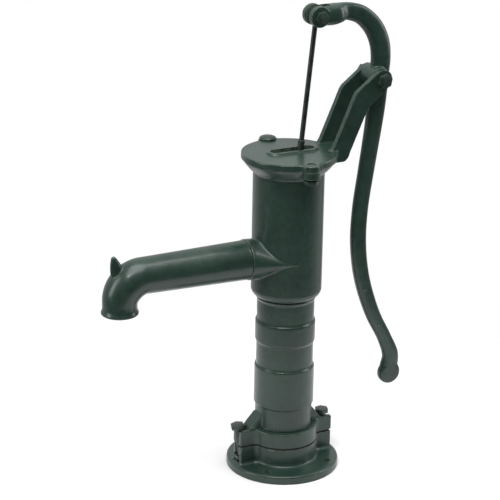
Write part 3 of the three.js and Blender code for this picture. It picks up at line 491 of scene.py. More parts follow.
# %% Sand tree, casting and machining
def sand_tree():
    graph, given = geometry_tree(
        "Sand-cast skin",
        {"Depth": "NodeSocketFloat", "Size": "NodeSocketFloat", "Seed": "NodeSocketFloat",
         "Finish": "NodeSocketMaterial"},
    )
    position = graph.node("GeometryNodeInputPosition")
    swell = graph.node(
        "ShaderNodeTexNoise",
        {"noise_dimensions": "4D"},
        {"Vector": position, "W": given.out("Seed"), "Scale": 1 / given.out("Size"), "Detail": 2.0},
    )
    normal = graph.node("GeometryNodeInputNormal")
    shift = normal.vector("SCALE")
    graph.tree.links.new(((swell - 0.5) * given.out("Depth") * 2).socket, shift.node.inputs["Scale"])
    skin = graph.node(
        "GeometryNodeSetPosition", inputs={"Geometry": given.out("Geometry"), "Offset": shift}
    )
    return close_tree(graph, skin, given.out("Finish"))


SAND = sand_tree()
SAND_DEPTH = 0.1
SAND_SIZE = 14.0
SMOOTH_ANGLE = math.radians(38)


def smooth_faces(obj):
    """Smooth shading, with sharp edges only where a cut made them."""
    obj.data.polygons.foreach_set("use_smooth", [True] * len(obj.data.polygons))
    obj.data.set_sharp_from_angle(angle=SMOOTH_ANGLE)
    return obj


def machine(obj, cutters, finish=green_enamel):
    """Cuts holes and flat faces, then removes the cutters."""
    for cutter in cutters:
        modifier = obj.modifiers.new("Cut", "BOOLEAN")
        modifier.operation = "DIFFERENCE"
        modifier.solver = "MANIFOLD"
        modifier.object = cutter
    settle(obj)
    for cutter in cutters:
        bpy.data.objects.remove(cutter)
    obj.data.materials.clear()
    obj.data.materials.append(finish)
    return smooth_faces(obj)


def casting(name, parts, cutters, grain, passes, seed):
    """One cast skin over rough parts that overlap, in squares of this grain, then the cuts."""
    obj = merge(name, parts, green_enamel)
    remesh = obj.modifiers.new("Skin", "REMESH")
    remesh.mode = "VOXEL"
    remesh.voxel_size = grain * MM
    remesh.use_smooth_shade = True
    soften = obj.modifiers.new("Soften", "SMOOTH")
    soften.factor = 0.5
    soften.iterations = passes
    settle(obj)
    sand = {"Depth": SAND_DEPTH * MM, "Size": SAND_SIZE * MM, "Seed": seed, "Finish": green_enamel}
    run_tree(obj, SAND, sand)
    machine(obj, cutters)
    print("casting:", name, len(obj.data.polygons), "faces")
    return obj


def stand_for(obj, body, *nodes, slot="green_paint"):
    """Ties a finished piece to its body, and hides the plain solids that it stands for."""
    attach(obj, body)
    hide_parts(*nodes)
    print("piece:", obj.name, "on", body)


# %% [markdown]
# ## Plates and outlines
#
# Lugs, ears and the cover are flat shapes with a thickness. A pen draws the outline with lines,
# arcs and bends in steps of about a millimetre, and `prism` gives it a thickness. Blocks and
# discs made the same way are the cutters. They run well past the faces that they cut.


# %% Pen, prism and simple cutters
ARC_STEP = 1.2
SAME_POINT = 0.01


class Pen:
    """Draws a closed outline, in millimetres."""

    def __init__(self, x, y):
        self.points = [(x, y)]

    def line(self, x, y):
        self.points.append((x, y))
        return self

    def arc(self, x, y, radius, start, end):
        steps = max(2, math.ceil(abs(end - start) * radius / ARC_STEP))
        for i in range(steps + 1):
            angle = start + (end - start) * i / steps
            self.line(x + radius * math.cos(angle), y + radius * math.sin(angle))
        return self

    def bend(self, over_x, over_y, x, y, steps=10):
        from_x, from_y = self.points[-1]
        for i in range(1, steps + 1):
            t = i / steps
            keep, pull = (1 - t) ** 2, 2 * t * (1 - t)
            self.line(keep * from_x + pull * over_x + t * t * x, keep * from_y + pull * over_y + t * t * y)
        return self


def prism(name, outline, low, high, plane="XY"):
    """An outline in the XY plane raised along Z, or in the XZ plane as thick as low to high in Y."""
    clean = [p for i, p in enumerate(outline) if math.dist(p, outline[i - 1]) > SAME_POINT]
    count = len(clean)
    if plane == "XY":
        points = [(x, y, level) for level in (low, high) for x, y in clean]
    else:
        points = [(x, level, z) for level in (low, high) for x, z in clean]
    faces = [tuple(range(count)), tuple(range(count, 2 * count))]
    for i in range(count):
        after = (i + 1) % count
        faces.append((i, after, count + after, count + i))
    return tidy(mesh_object(name, points, faces))


def block(x0, x1, y0, y1, z0, z1):
    return prism("block", [(x0, y0), (x1, y0), (x1, y1), (x0, y1)], z0, z1)


SLAB_HALF = 120.0


def slab(z0, z1):
    """Everything between two heights, to cut the face of a casting flat."""
    return block(-SLAB_HALF, SLAB_HALF, -SLAB_HALF, SLAB_HALF, z0, z1)


def disc_z(radius, z0, z1, x=0.0, y=0.0, sides=64):
    """A disc between two heights."""
    disc = turned("disc", [(0, z0), (radius, z0), (radius, z1), (0, z1)], sides)
    return place(disc, offset(x, y, 0))


TURN_TO_Y = rotation(-90, "X")
TURN_TO_SPOUT = rotation(-90, "Y")
QUARTER_TURN = rotation(90, "Z")


def disc_y(radius, y0, y1, x, z, sides=64):
    """A disc on its side, as the pivots lie."""
    disc = turned("disc", [(0, y0), (radius, y0), (radius, y1), (0, y1)], sides)
    return place(disc, TURN_TO_Y, offset(x, 0, z))


def arc_points(x, z, radius, start, end, steps=8):
    """Profile points round a corner, with the angles in degrees."""
    made = []
    for i in range(steps + 1):
        angle = math.radians(start + (end - start) * i / steps)
        made.append((x + radius * math.cos(angle), z + radius * math.sin(angle)))
    return made


# %% [markdown]
# ## The base flange
#
# The pump stands on a round foot with four bolt holes. A short neck rises from it, with a lug on
# each side along X. Both lugs are slotted from the outside, so that the clamp bolts can be
# dropped in with their nuts held in a pocket. A lathe makes the foot and the neck, and the
# lugged outline is drawn once and used again for the clamp ring of the cylinder.

# %% Sizes of the base and the clamp
GAP = 0.3  # between neighbouring pieces
SKIN = 0.2  # room for the sandy skin, where a size must not be passed
ALLOWANCE = 3.0  # extra metal on a face that is cut flat afterwards
BASE_R = 82.5
BASE_TOP = 12.0
NECK_R = 50.0
NECK_TOP = 39.0
LUG_HALF_WIDTH = 11.8
LUG_REACH = 75.0
LUG_FILLET = 9.0
LUG_BOLT_X = 64.5
SPOUT_SIDE_BOLT_X = -68.0
RING_R = 50.5
RING_BOTTOM = 42.6
RING_TOP = 64.0
BOLT_SLOT = 5.35
SLOT_END = 83.0
POCKET = (14.6, 26.4)
POCKET_BACK, POCKET_END = 54.4, 90.0
POCKET_HALF_WIDTH = 8.8
BASE_HOLE_R = 5.5
BASE_HOLE_CIRCLE_R = 68.5
SOCKET_R = 19.5
SOCKET_TOP = 24.0
VALVE_SEAT_R = 16.0
HOLE_M10, HOLE_M12, WIDE_HOLE_M12 = 5.3, 6.3, 6.7


def lugged_disc(radius, half_width, reach, fillet, round_ends=False):
    """A disc with a lug on each side along X, blended into the disc."""
    centre_y = half_width + fillet
    centre_x = math.sqrt((radius + fillet) ** 2 - centre_y ** 2)
    meet = math.atan2(centre_y, centre_x)
    quarter = math.pi / 2
    pen = Pen(radius * math.cos(meet), radius * math.sin(meet))
    pen.arc(0, 0, radius, meet, math.pi - meet)
    pen.arc(-centre_x, centre_y, fillet, -meet, -quarter)
    if round_ends:
        pen.arc(half_width - reach, 0, half_width, quarter, 3 * quarter)
    else:
        pen.line(-reach, half_width).line(-reach, -half_width)
    pen.arc(-centre_x, -centre_y, fillet, quarter, meet)
    pen.arc(0, 0, radius, math.pi + meet, math.tau - meet)
    pen.arc(centre_x, -centre_y, fillet, math.pi - meet, quarter)
    if round_ends:
        pen.arc(reach - half_width, 0, half_width, -quarter, quarter)
    else:
        pen.line(reach, -half_width).line(reach, half_width)
    pen.arc(centre_x, centre_y, fillet, -quarter, meet - math.pi)
    return pen.points


def bolt_slots(z0, z1):
    """The open-ended slots for the two clamp bolts."""
    cutters = []
    for side in (-1, 1):
        cutters.append(disc_z(BOLT_SLOT, z0, z1, side * LUG_BOLT_X))
        near, far = sorted((side * LUG_BOLT_X, side * SLOT_END))
        cutters.append(block(near, far, -BOLT_SLOT, BOLT_SLOT, z0, z1))
    return cutters


# %% Bolt circle
DRILL_LENGTH = 60.0


def bolt_circle_tree():
    """Cutters for holes spaced evenly round a circle."""
    graph, given = geometry_tree(
        "Bolt circle",
        {"Count": "NodeSocketInt", "Circle": "NodeSocketFloat", "Hole": "NodeSocketFloat",
         "Finish": "NodeSocketMaterial"},
    )
    ring = graph.node(
        "GeometryNodeMeshCircle", inputs={"Vertices": given.out("Count"), "Radius": given.out("Circle")}
    )
    drill = graph.node(
        "GeometryNodeMeshCylinder",
        inputs={"Vertices": 48, "Radius": given.out("Hole"), "Depth": DRILL_LENGTH * MM},
    )
    holes = graph.node("GeometryNodeInstanceOnPoints", inputs={"Points": ring, "Instance": drill})
    return close_tree(graph, holes, given.out("Finish"))


BOLT_CIRCLE = bolt_circle_tree()
base_holes = run_tree(
    mesh_object("base_holes", [(0, 0, 0)]),
    BOLT_CIRCLE,
    {"Count": 4, "Circle": BASE_HOLE_CIRCLE_R * MM, "Hole": BASE_HOLE_R * MM, "Finish": green_enamel},
)
place(tidy(base_holes), rotation(45, "Z"))

# %% The foot
FOOT_ROUND, NECK_FILLET = 3.0, 4.0
FLARE_SIDE, FLARE_END, FLARE_RISE = 2.5, 1.5, 2.0
IN_THE_FOOT = 8.0
foot_r = BASE_R - SKIN
foot_profile = [
    (0, -ALLOWANCE), (foot_r, -ALLOWANCE),
    *arc_points(foot_r - FOOT_ROUND, BASE_TOP - FOOT_ROUND, FOOT_ROUND, 0, 90),
    *arc_points(NECK_R + NECK_FILLET, BASE_TOP + NECK_FILLET, NECK_FILLET, 270, 180),
    (NECK_R, NECK_TOP + ALLOWANCE), (0, NECK_TOP + ALLOWANCE),
]
lug_outline = lugged_disc(NECK_R - 0.5, LUG_HALF_WIDTH, LUG_REACH, LUG_FILLET)
flare_outline = lugged_disc(NECK_R, LUG_HALF_WIDTH + FLARE_SIDE, LUG_REACH + FLARE_END, LUG_FILLET)
base = casting(
    "base_casting",
    [
        turned("foot", foot_profile, 200),
        prism("lugs", lug_outline, IN_THE_FOOT, NECK_TOP + ALLOWANCE),
        prism("flare", flare_outline, IN_THE_FOOT, BASE_TOP + FLARE_RISE),
    ],
    [
        slab(-20, 0),
        slab(NECK_TOP, NECK_TOP + 20),
        disc_z(SOCKET_R, -5, SOCKET_TOP),
        disc_z(VALVE_SEAT_R, 20, NECK_TOP + 5),
        base_holes,
        *bolt_slots(POCKET[0], NECK_TOP + 5),
        block(POCKET_BACK, POCKET_END, -POCKET_HALF_WIDTH, POCKET_HALF_WIDTH, *POCKET),
        block(-POCKET_END, -POCKET_BACK, -POCKET_HALF_WIDTH, POCKET_HALF_WIDTH, *POCKET),
    ],
    grain=1.2,
    passes=5,
    seed=1.0,
)
stand_for(base, "stand", "base_flange")

# %% [markdown]
# ## The gasket
#
# A sheet of oiled leather seals the joint between the neck and the clamp ring. It could be drawn
# flush, but leather that the bolts squeeze lies a little behind the iron and reads as a dark
# line, so the same lugged outline is drawn smaller.

# %% Leather between the castings
GASKET = (39.3, 42.3)
GASKET_INSET = 2.2
GASKET_HOLE_R = 36.0
gasket_outline = lugged_disc(
    NECK_R - GASKET_INSET, LUG_HALF_WIDTH - GASKET_INSET, LUG_REACH - GASKET_INSET, LUG_FILLET
)
gasket = machine(
    prism("gasket", gasket_outline, *GASKET),
    [disc_z(GASKET_HOLE_R, 30, 50, sides=120), *bolt_slots(30, 50)],
    gasket_leather,
)
stand_for(gasket, "stand", "foot_gasket", slot="leather")

# %% [markdown]
# ## The cylinder
#
# The barrel is a plain tube outside but for two raised bands, whose top edges catch the light,
# and a small bead where it enters the reservoir. Its clamp ring repeats the lugged outline, a rib
# fills the corner above each lug, and a shallow groove marks the barrel's foot. The bore is
# machined, so it is cut last, as are the flats for the heads of the clamp bolts. The bolt on the
# spout's side leans outwards, so its flat lies further out than its slot.

# %% The barrel
BORE_R = 37.5
BARREL_R = 41.5
BAND_R = 43.6
BAND_ROUND = 1.0
LOWER_BAND, UPPER_BAND = (97, 158), (195, 228)
BARREL_TOP = 281.0
RESERVOIR_BOTTOM = 265.0
BEAD = 2.0
FLAT_R, LEANING_FLAT_R = 11.0, 11.2
LEANING_FLAT_X = SPOUT_SIDE_BOLT_X - 6.5


def band(bottom, top):
    """The profile of one raised band, chamfered below and rounded above."""
    return [
        (BARREL_R, bottom), (BAND_R, bottom + BAND_R - BARREL_R),
        *arc_points(BAND_R - BAND_ROUND, top - BAND_ROUND, BAND_ROUND, 0, 90, 4), (BARREL_R, top),
    ]


bead_top = RESERVOIR_BOTTOM - GAP
barrel_profile = [
    (0, RING_BOTTOM - ALLOWANCE), (BARREL_R, RING_BOTTOM - ALLOWANCE),
    *band(*LOWER_BAND), *band(*UPPER_BAND),
    (BARREL_R, bead_top - 2 * BEAD), (BARREL_R + BEAD, bead_top - BEAD), (BARREL_R + BEAD, bead_top),
    (BARREL_R, bead_top), (BARREL_R, BARREL_TOP), (0, BARREL_TOP),
]


def lug_rib(side, reach, rise):
    """The sloping rib between a lug's top and the barrel, rooted 2 mm into the lug."""
    inside, outside = side * (BARREL_R - 3.5), side * (BARREL_R + 2)
    outline = [
        (inside, RING_TOP - 2), (side * reach, RING_TOP - 2), (side * reach, RING_TOP),
        (outside, RING_TOP + rise), (inside, RING_TOP + rise),
    ]
    return prism("rib", outline, 1 - LUG_HALF_WIDTH, LUG_HALF_WIDTH - 1, "XZ")


# [radius, height] from the corner where the barrel leaves the ring
GROOVE = ((0.4, -1.8), (2.0, -1.8), (2.0, 2.0), (0.4, 2.0), (0.4, -1.8))
groove = [(BARREL_R + r, RING_TOP + z) for r, z in GROOVE]
ring_outline = lugged_disc(RING_R, LUG_HALF_WIDTH, LUG_REACH, LUG_FILLET)
cylinder = casting(
    "cylinder_casting",
    [
        turned("barrel", barrel_profile, 200),
        prism("ring", ring_outline, RING_BOTTOM - ALLOWANCE, RING_TOP),
        lug_rib(-1, 63, 21.5),
        lug_rib(1, 58, 19),
    ],
    [
        slab(20, RING_BOTTOM),
        disc_z(BORE_R, 20, BARREL_TOP + 10, sides=160),
        turned("groove", groove, 160),
        *bolt_slots(30, RING_TOP + 5),
        disc_z(FLAT_R, RING_TOP, RING_TOP + 30, LUG_BOLT_X),
        disc_z(LEANING_FLAT_R, RING_TOP, RING_TOP + 30, LEANING_FLAT_X),
    ],
    grain=1.15,
    passes=4,
    seed=2.0,
)
stand_for(cylinder, "stand", "pump_cylinder")

# %% [markdown]
# ## The reservoir
#
# The wide upper body flares to a rim, with a pad for a bolt at the front and at the back. The
# root of the spout is a cone whose flanks run round the body to a sharp point on each side. It
# could be lofted, but the convex hull of the pipe's end and a short ridge of points on each side
# gives that form in one step. Three low rings at its end are the rough seam of the spout.

# %% The wide body
RESERVOIR_R = 51.0
RIM_R = 66.0
RIM_TOP = 471.0
PAD_BOTTOM = 459.0
COVER_BOLT_Y = 67.0
COVER_LUG_HALF_WIDTH = 12.5
SPOUT_Z = 326.9
SPOUT_ROOT_R = 29.0
COLLAR_X = -67.0
SPOUT_BORE_R = 22.3
SADDLE_RIDGE = ((-19.0, 48.6), (-8.0, 51.2))  # [x, y] where the flank leaves the body
ROOT_SIDES = 72
ROOT_DEPTH = 8.0  # how far the root starts inside the body's wall
SEAM_RIDGES = (-66.0, -63.2, -60.4)
SEAM_RISE, SEAM_WIDTH = 0.7, 1.1
BOTTOM_ROUND = 12.0
RIM_FLARE = ((RESERVOIR_R, 451.5), (53.2, 453.6), (58.4, 458.8), (62.8, 464.2), (RIM_R, 469.0))
PAD_FACE_R = 12.0


def slot_outline(start, end, half_width):
    """A slot along X with half-round ends."""
    quarter = math.pi / 2
    pen = Pen(end - half_width, -half_width)
    pen.arc(end - half_width, 0, half_width, -quarter, quarter)
    pen.arc(start + half_width, 0, half_width, quarter, 3 * quarter)
    return pen.points


def spout_root():
    """The cone between the pipe's end and the ridges on the body's two sides."""
    work = bmesh.new()
    points = [(x, side * y, SPOUT_Z) for x, y in SADDLE_RIDGE for side in (-1, 1)]
    for i in range(ROOT_SIDES):
        angle = math.tau * i / ROOT_SIDES
        y = SPOUT_ROOT_R * math.cos(angle)
        z = SPOUT_Z + SPOUT_ROOT_R * math.sin(angle)
        points += [(COLLAR_X, y, z), (ROOT_DEPTH - RESERVOIR_R, y, z)]
    for point in points:
        work.verts.new(Vector(point) * MM)
    hull = bmesh.ops.convex_hull(work, input=work.verts)
    spare = {item for item in hull["geom_interior"] if isinstance(item, bmesh.types.BMVert)}
    bmesh.ops.delete(work, geom=list(spare), context="VERTS")
    mesh = bpy.data.meshes.new("root")
    work.to_mesh(mesh)
    work.free()
    obj = bpy.data.objects.new("root", mesh)
    scene.collection.objects.link(obj)
    return tidy(obj)


def toward_spout(obj, x=0.0):
    """Lays a turned piece on the spout's axis: its foot at x, its top towards -X."""
    return place(obj, TURN_TO_SPOUT, offset(x, 0, SPOUT_Z))


bottom_flat_r = RESERVOIR_R - BOTTOM_ROUND
shell_profile = [
    (0, RESERVOIR_BOTTOM), (bottom_flat_r, RESERVOIR_BOTTOM),
    *arc_points(bottom_flat_r, RESERVOIR_BOTTOM + BOTTOM_ROUND, BOTTOM_ROUND, 270, 360, 10),
    *RIM_FLARE, (RIM_R, RIM_TOP + ALLOWANCE), (0, RIM_TOP + ALLOWANCE),
]
cavity_profile = [
    (0, 277), (43, 277), (46, 281), (46, 449), (56, 462), (58, RIM_TOP + 5), (0, RIM_TOP + 5),
]
pad_reach = COVER_BOLT_Y + COVER_LUG_HALF_WIDTH
bolt_pads = prism(
    "pads", slot_outline(-pad_reach, pad_reach, COVER_LUG_HALF_WIDTH), PAD_BOTTOM, RIM_TOP + ALLOWANCE
)
place(bolt_pads, QUARTER_TURN)
seam_ridges = [
    toward_spout(disc_z(SPOUT_ROOT_R + SEAM_RISE, 0, SEAM_WIDTH, sides=96), x) for x in SEAM_RIDGES
]
reservoir = casting(
    "reservoir_casting",
    [turned("shell", shell_profile, 220), bolt_pads, spout_root(), *seam_ridges],
    [
        slab(RIM_TOP, RIM_TOP + 30),
        turned("cavity", cavity_profile, 160),
        disc_z(BARREL_R + GAP, RESERVOIR_BOTTOM - 5, 280, sides=160),
        toward_spout(disc_z(SPOUT_BORE_R, 10, 80, sides=96)),
        *[disc_z(WIDE_HOLE_M12, PAD_BOTTOM - 5, RIM_TOP + 5, 0, y) for y in (-COVER_BOLT_Y, COVER_BOLT_Y)],
        *[disc_z(PAD_FACE_R, PAD_BOTTOM - 20, PAD_BOTTOM, 0, y) for y in (-COVER_BOLT_Y, COVER_BOLT_Y)],
    ],
    grain=1.2,
    passes=3,
    seed=3.0,
)
stand_for(reservoir, "stand", "reservoir")

# %% [markdown]
# ## The spout
#
# A slightly tapering pipe leaves the root at a rough seam, turns down through a short elbow and
# ends in a rolled bead. A small tooth stands on the elbow: a bucket's handle hangs on it.

# %% Pipe, elbow, mouth and tooth
MOUTH_X = -260.0
MOUTH_Z = 275.0
ELBOW_R = 36.0
MOUTH_R = 24.5
PIPE_ROOT_R, PIPE_END_R = 28.5, 26.0
ELBOW_SWELL = 1.5
STRAIGHT = 0.6  # the share of t that the straight pipe takes
STRAIGHT_STEPS, ELBOW_STEPS = 24, 30
MOUTH_WALL = 5.0


def spout_path(start_x, end_z, radius_at):
    """Stations along the pipe, round the elbow and down, with t from 0 to 1 on the way."""
    bend_x = MOUTH_X + ELBOW_R
    bend_z = SPOUT_Z - ELBOW_R
    stations = []
    for i in range(STRAIGHT_STEPS + 1):
        x = start_x + (bend_x - start_x) * i / STRAIGHT_STEPS
        stations.append((x, SPOUT_Z, STRAIGHT * i / STRAIGHT_STEPS))
    for i in range(1, ELBOW_STEPS + 1):
        lean = math.pi / 2 * i / ELBOW_STEPS
        x = bend_x - ELBOW_R * math.sin(lean)
        z = bend_z + ELBOW_R * math.cos(lean)
        stations.append((x, z, STRAIGHT + (1 - STRAIGHT) * i / ELBOW_STEPS))
    stations.append((MOUTH_X, end_z, 1.0))
    return [(x, z, radius_at(t), radius_at(t)) for x, z, t in stations]


def pipe_radius(t):
    """Tapers along the straight, swells in the elbow and draws in again at the mouth."""
    if t < STRAIGHT:
        return PIPE_ROOT_R - (PIPE_ROOT_R - PIPE_END_R) * t / STRAIGHT
    turn = (t - STRAIGHT) / (1 - STRAIGHT)
    return PIPE_END_R + ELBOW_SWELL * math.sin(math.pi * turn) - ELBOW_SWELL * turn


mouth_bead = turned(
    "bead",
    [(0, 0), (23.5, 0), *arc_points(23.6, 3.1, 3.0, 280, 380, 8), (25.4, 6.2), (MOUTH_R, 9), (0, 9)],
    120,
)
place(mouth_bead, offset(MOUTH_X, 0, MOUTH_Z))
TOOTH_STATIONS = [
    (-262, 330, 10.5, 7.6), (-264.5, 340, 9.6, 7.0), (-266.5, 348, 7.8, 6.0), (-268.3, 355, 5.4, 4.6),
    (-269.6, 359.5, 3.2, 3.0), (-270, 361, 1.6, 1.6),
]
SEAM_R, SEAM_WAVE, SEAM_STEP = 28.4, 0.9, 0.2
seam_stations = []
for step in range(14):
    swell = SEAM_R + SEAM_WAVE * math.sin(step * 0.5)
    seam_stations.append((COLLAR_X - GAP - SEAM_STEP * step, SPOUT_Z, swell, swell))
spout = casting(
    "spout_casting",
    [
        swept("pipe", spout_path(COLLAR_X - GAP, MOUTH_Z + 4, pipe_radius), 96),
        mouth_bead,
        swept("tooth", TOOTH_STATIONS, 32),
        swept("seam", seam_stations, 96),
    ],
    [swept("waterway", spout_path(COLLAR_X + 15, MOUTH_Z - 4, lambda t: MOUTH_R - MOUTH_WALL), 64)],
    grain=1.05,
    passes=4,
    seed=4.0,
)
stand_for(spout, "stand", "spout")

# %% [markdown]
# ## The cover and its fork
#
# The cover is a flat disc with a lug for each bolt. A raised lip runs round the slot in which
# the rod swings, and two bent plates, the ears of the fork, carry the handle's pivot. The ears
# are drawn from the side, with straight runs that touch the round boss.

# %% Outlines of the ears
COVER_R = 68.5
COVER_BOTTOM = 471.3
COVER_TOP = 479.3
PIVOT = (135.0, 575.0)
EAR_R = 14.8
HUB_R = 15.5
EAR_THICKNESS = 8.0
FORK_HALF_GAP = 16.5
FRONT_BEND = (90.7, 558.5)
REAR_BEND = (112.0, 536.5)
HEEL = (85.2, 475.0)
EAR_ROOT_X = 60.0
TAIL_Z = 461.3


def touch_angle(start, centre, radius, side):
    """The angle on a circle where a line from the start point touches it."""
    distance = math.dist(start, centre)
    heading = math.atan2(centre[1] - start[1], centre[0] - start[0])
    lean = heading + side * math.asin(radius / distance)
    length = math.sqrt(distance ** 2 - radius ** 2)
    x = start[0] + length * math.cos(lean)
    z = start[1] + length * math.sin(lean)
    return math.atan2(z - centre[1], x - centre[0])


def ear_outline():
    """From the heel up the rear edge, round the boss and down the front edge."""
    front = touch_angle(FRONT_BEND, PIVOT, EAR_R, 1)
    rear = touch_angle(REAR_BEND, PIVOT, EAR_R, -1)
    pen = Pen(EAR_ROOT_X, TAIL_Z)
    pen.line(73, TAIL_Z).bend(82, TAIL_Z, *HEEL)
    pen.line(REAR_BEND[0] - 2, REAR_BEND[1] - 5)
    pen.bend(*REAR_BEND, REAR_BEND[0] + 5, REAR_BEND[1] + 4)
    pen.arc(*PIVOT, EAR_R, rear, front)
    pen.line(FRONT_BEND[0] + 4, FRONT_BEND[1] + 4)
    pen.bend(*FRONT_BEND, FRONT_BEND[0] - 2, FRONT_BEND[1] - 5)
    pen.line(EAR_ROOT_X, COVER_TOP + 8).bend(57, COVER_TOP + 1, 50, COVER_TOP - 1)
    pen.line(50, COVER_BOTTOM + 1).line(EAR_ROOT_X, COVER_BOTTOM - 1)
    return pen.points


print("ear outline:", len(ear_outline()), "points")


# %% The cover casting
ROD_SLOT = (-30, 39, 8.6)
SLOT_LIP = (-34.5, 43.5, 12.9)
LIP_RISE = 3.0
FORK_SEAT = (0, 79, -20, 20)
fork_half_width = FORK_HALF_GAP + EAR_THICKNESS
ears = [
    prism("ear", ear_outline(), *sorted((side * FORK_HALF_GAP, side * fork_half_width)), "XZ")
    for side in (-1, 1)
]
cover_outline = lugged_disc(COVER_R - SKIN, COVER_LUG_HALF_WIDTH, pad_reach, 10, True)
cover_disc = prism("disc", cover_outline, COVER_BOTTOM - 2, COVER_TOP)
place(cover_disc, QUARTER_TURN)
# flat underneath, but for the ears' tails, which hang behind the reservoir's rim
under_cut = prism("under", slot_outline(-90, RIM_R + GAP, RIM_R), COVER_BOTTOM - 30, COVER_BOTTOM)
cover = casting(
    "cover_casting",
    [
        cover_disc,
        block(*FORK_SEAT, COVER_BOTTOM, COVER_TOP),
        prism("lip", slot_outline(*SLOT_LIP), COVER_TOP - 3, COVER_TOP + LIP_RISE),
        *ears,
    ],
    [
        under_cut,
        prism("slot", slot_outline(*ROD_SLOT), COVER_BOTTOM - 5, COVER_TOP + 10),
        disc_y(HOLE_M12, -40, 40, *PIVOT),
        disc_z(HOLE_M12, COVER_BOTTOM - 5, COVER_TOP + 5, 0, -COVER_BOLT_Y),
        disc_z(WIDE_HOLE_M12, COVER_BOTTOM - 5, COVER_TOP + 5, 0, COVER_BOLT_Y),
    ],
    grain=1.1,
    passes=4,
    seed=5.0,
)
stand_for(cover, "stand", "cover_and_fork")

# %% [markdown]
# ## The handle
#
# One long casting: two cheeks hold the rod's eye, the bar curls over like a hook, passes through
# the fork at a round hub, and runs down in a long S to a round knob. The bar is a path with a
# squarish section that thins on the way down. A few small pips stand on its flank where the
# mould's vents were; instances on points put them there.

# %% Path of the bar
HEAD_PIN = (37.0, 672.0)
CHEEK_HALF_WIDTH = 14.5
HANDLE_STATIONS = [
    (46, 672, 14.2, 14.5), (60, 671.6, 14.6, 14.5), (71, 672.8, 13.7, 13.8), (82, 674.3, 12.3, 8.8),
    (94, 672.3, 12.8, 7.8), (108, 667, 13.4, 7.6), (127.5, 649.2, 14.5, 7.6), (139.5, 626, 15.1, 7.6),
    (143, 602, 15, 7.6), (141, 574, 15, 7.6), (139, 540, 14.4, 7.4), (135.5, 505, 13.4, 7.2),
    (125.7, 435, 12.4, 7), (118.4, 380, 12.2, 7), (117, 328, 12.2, 7), (124.9, 272, 11.9, 6.8),
    (145.5, 212, 11.1, 6.8), (167.5, 170, 10.8, 6.8), (179.3, 140, 12.6, 7), (177.5, 121, 14.6, 7),
]


def flowing(stations, steps):
    """A smooth run of stations through the given ones (centripetal Catmull-Rom)."""
    first = [2 * a - b for a, b in zip(stations[0], stations[1])]
    last = [2 * a - b for a, b in zip(stations[-1], stations[-2])]
    rows = [first, *stations, last]
    made = []
    for k in range(1, len(rows) - 2):
        group = rows[k - 1:k + 3]
        knots = [0.0]
        for a, b in zip(group, group[1:]):
            knots.append(knots[-1] + max(1e-6, math.dist(a[:2], b[:2])) ** 0.5)
        for i in range(steps):
            t = knots[1] + (knots[2] - knots[1]) * i / steps

            def mix(a, b, t0, t1):
                return [((t1 - t) * p + (t - t0) * q) / (t1 - t0) for p, q in zip(a, b)]

            a1 = mix(group[0], group[1], knots[0], knots[1])
            a2 = mix(group[1], group[2], knots[1], knots[2])
            a3 = mix(group[2], group[3], knots[2], knots[3])
            b1 = mix(a1, a2, knots[0], knots[2])
            b2 = mix(a2, a3, knots[1], knots[3])
            made.append(tuple(mix(b1, b2, knots[1], knots[2])))
    return [*made, tuple(stations[-1])]


bar_path = flowing(HANDLE_STATIONS, 10)
bar_length = sum(math.dist(a[:2], b[:2]) for a, b in zip(bar_path, bar_path[1:]))
print("bar:", len(bar_path), "stations over", round(bar_length), "mm")

# %% Vent pips
PIP_HEIGHTS = (399.0, 255.0, 193.0)
PIP_R, PIP_SIDE, PIP_SUNK = 1.6, 2.0, 0.6


def pip_tree():
    graph, given = geometry_tree(
        "Vent pips", {"Radius": "NodeSocketFloat", "Finish": "NodeSocketMaterial"}
    )
    pip = graph.node("GeometryNodeMeshIcoSphere", inputs={"Radius": given.out("Radius"), "Subdivisions": 3})
    pips = graph.node(
        "GeometryNodeInstanceOnPoints", inputs={"Points": given.out("Geometry"), "Instance": pip}
    )
    return close_tree(graph, pips, given.out("Finish"))


PIPS = pip_tree()
pip_places = []
for height in PIP_HEIGHTS:
    near = min(bar_path, key=lambda station: abs(station[1] - height))
    pip_places.append((near[0] - PIP_SIDE, PIP_SUNK - near[3], near[1]))
vent_pips = run_tree(mesh_object("pips", pip_places), PIPS, {"Radius": PIP_R * MM, "Finish": green_enamel})

# %% The handle casting
KNOB = (177.6, 112.2)
KNOB_R, KNOB_HALF_THICKNESS, KNOB_ROUND = 17.5, 7.0, 5.0
CHEEK_R = 14.9
CHEEK_GAP_HALF_WIDTH, CHEEK_GAP_DEPTH = 6.5, 19.0
knob_flat = KNOB_R - KNOB_ROUND
knob_side = KNOB_HALF_THICKNESS - KNOB_ROUND
knob_profile = [
    (0, -KNOB_HALF_THICKNESS), (knob_flat - 1, -KNOB_HALF_THICKNESS),
    *arc_points(knob_flat, -knob_side, KNOB_ROUND, 270, 360),
    *arc_points(knob_flat, knob_side, KNOB_ROUND, 0, 90),
    (knob_flat - 1, KNOB_HALF_THICKNESS), (0, KNOB_HALF_THICKNESS),
]
knob = place(turned("knob", knob_profile, 96), TURN_TO_Y, offset(KNOB[0], 0, KNOB[1]))
cheek_gap = block(
    HEAD_PIN[0] - 30, HEAD_PIN[0] + CHEEK_GAP_DEPTH, -CHEEK_GAP_HALF_WIDTH, CHEEK_GAP_HALF_WIDTH,
    HEAD_PIN[1] - 30, HEAD_PIN[1] + 30,
)
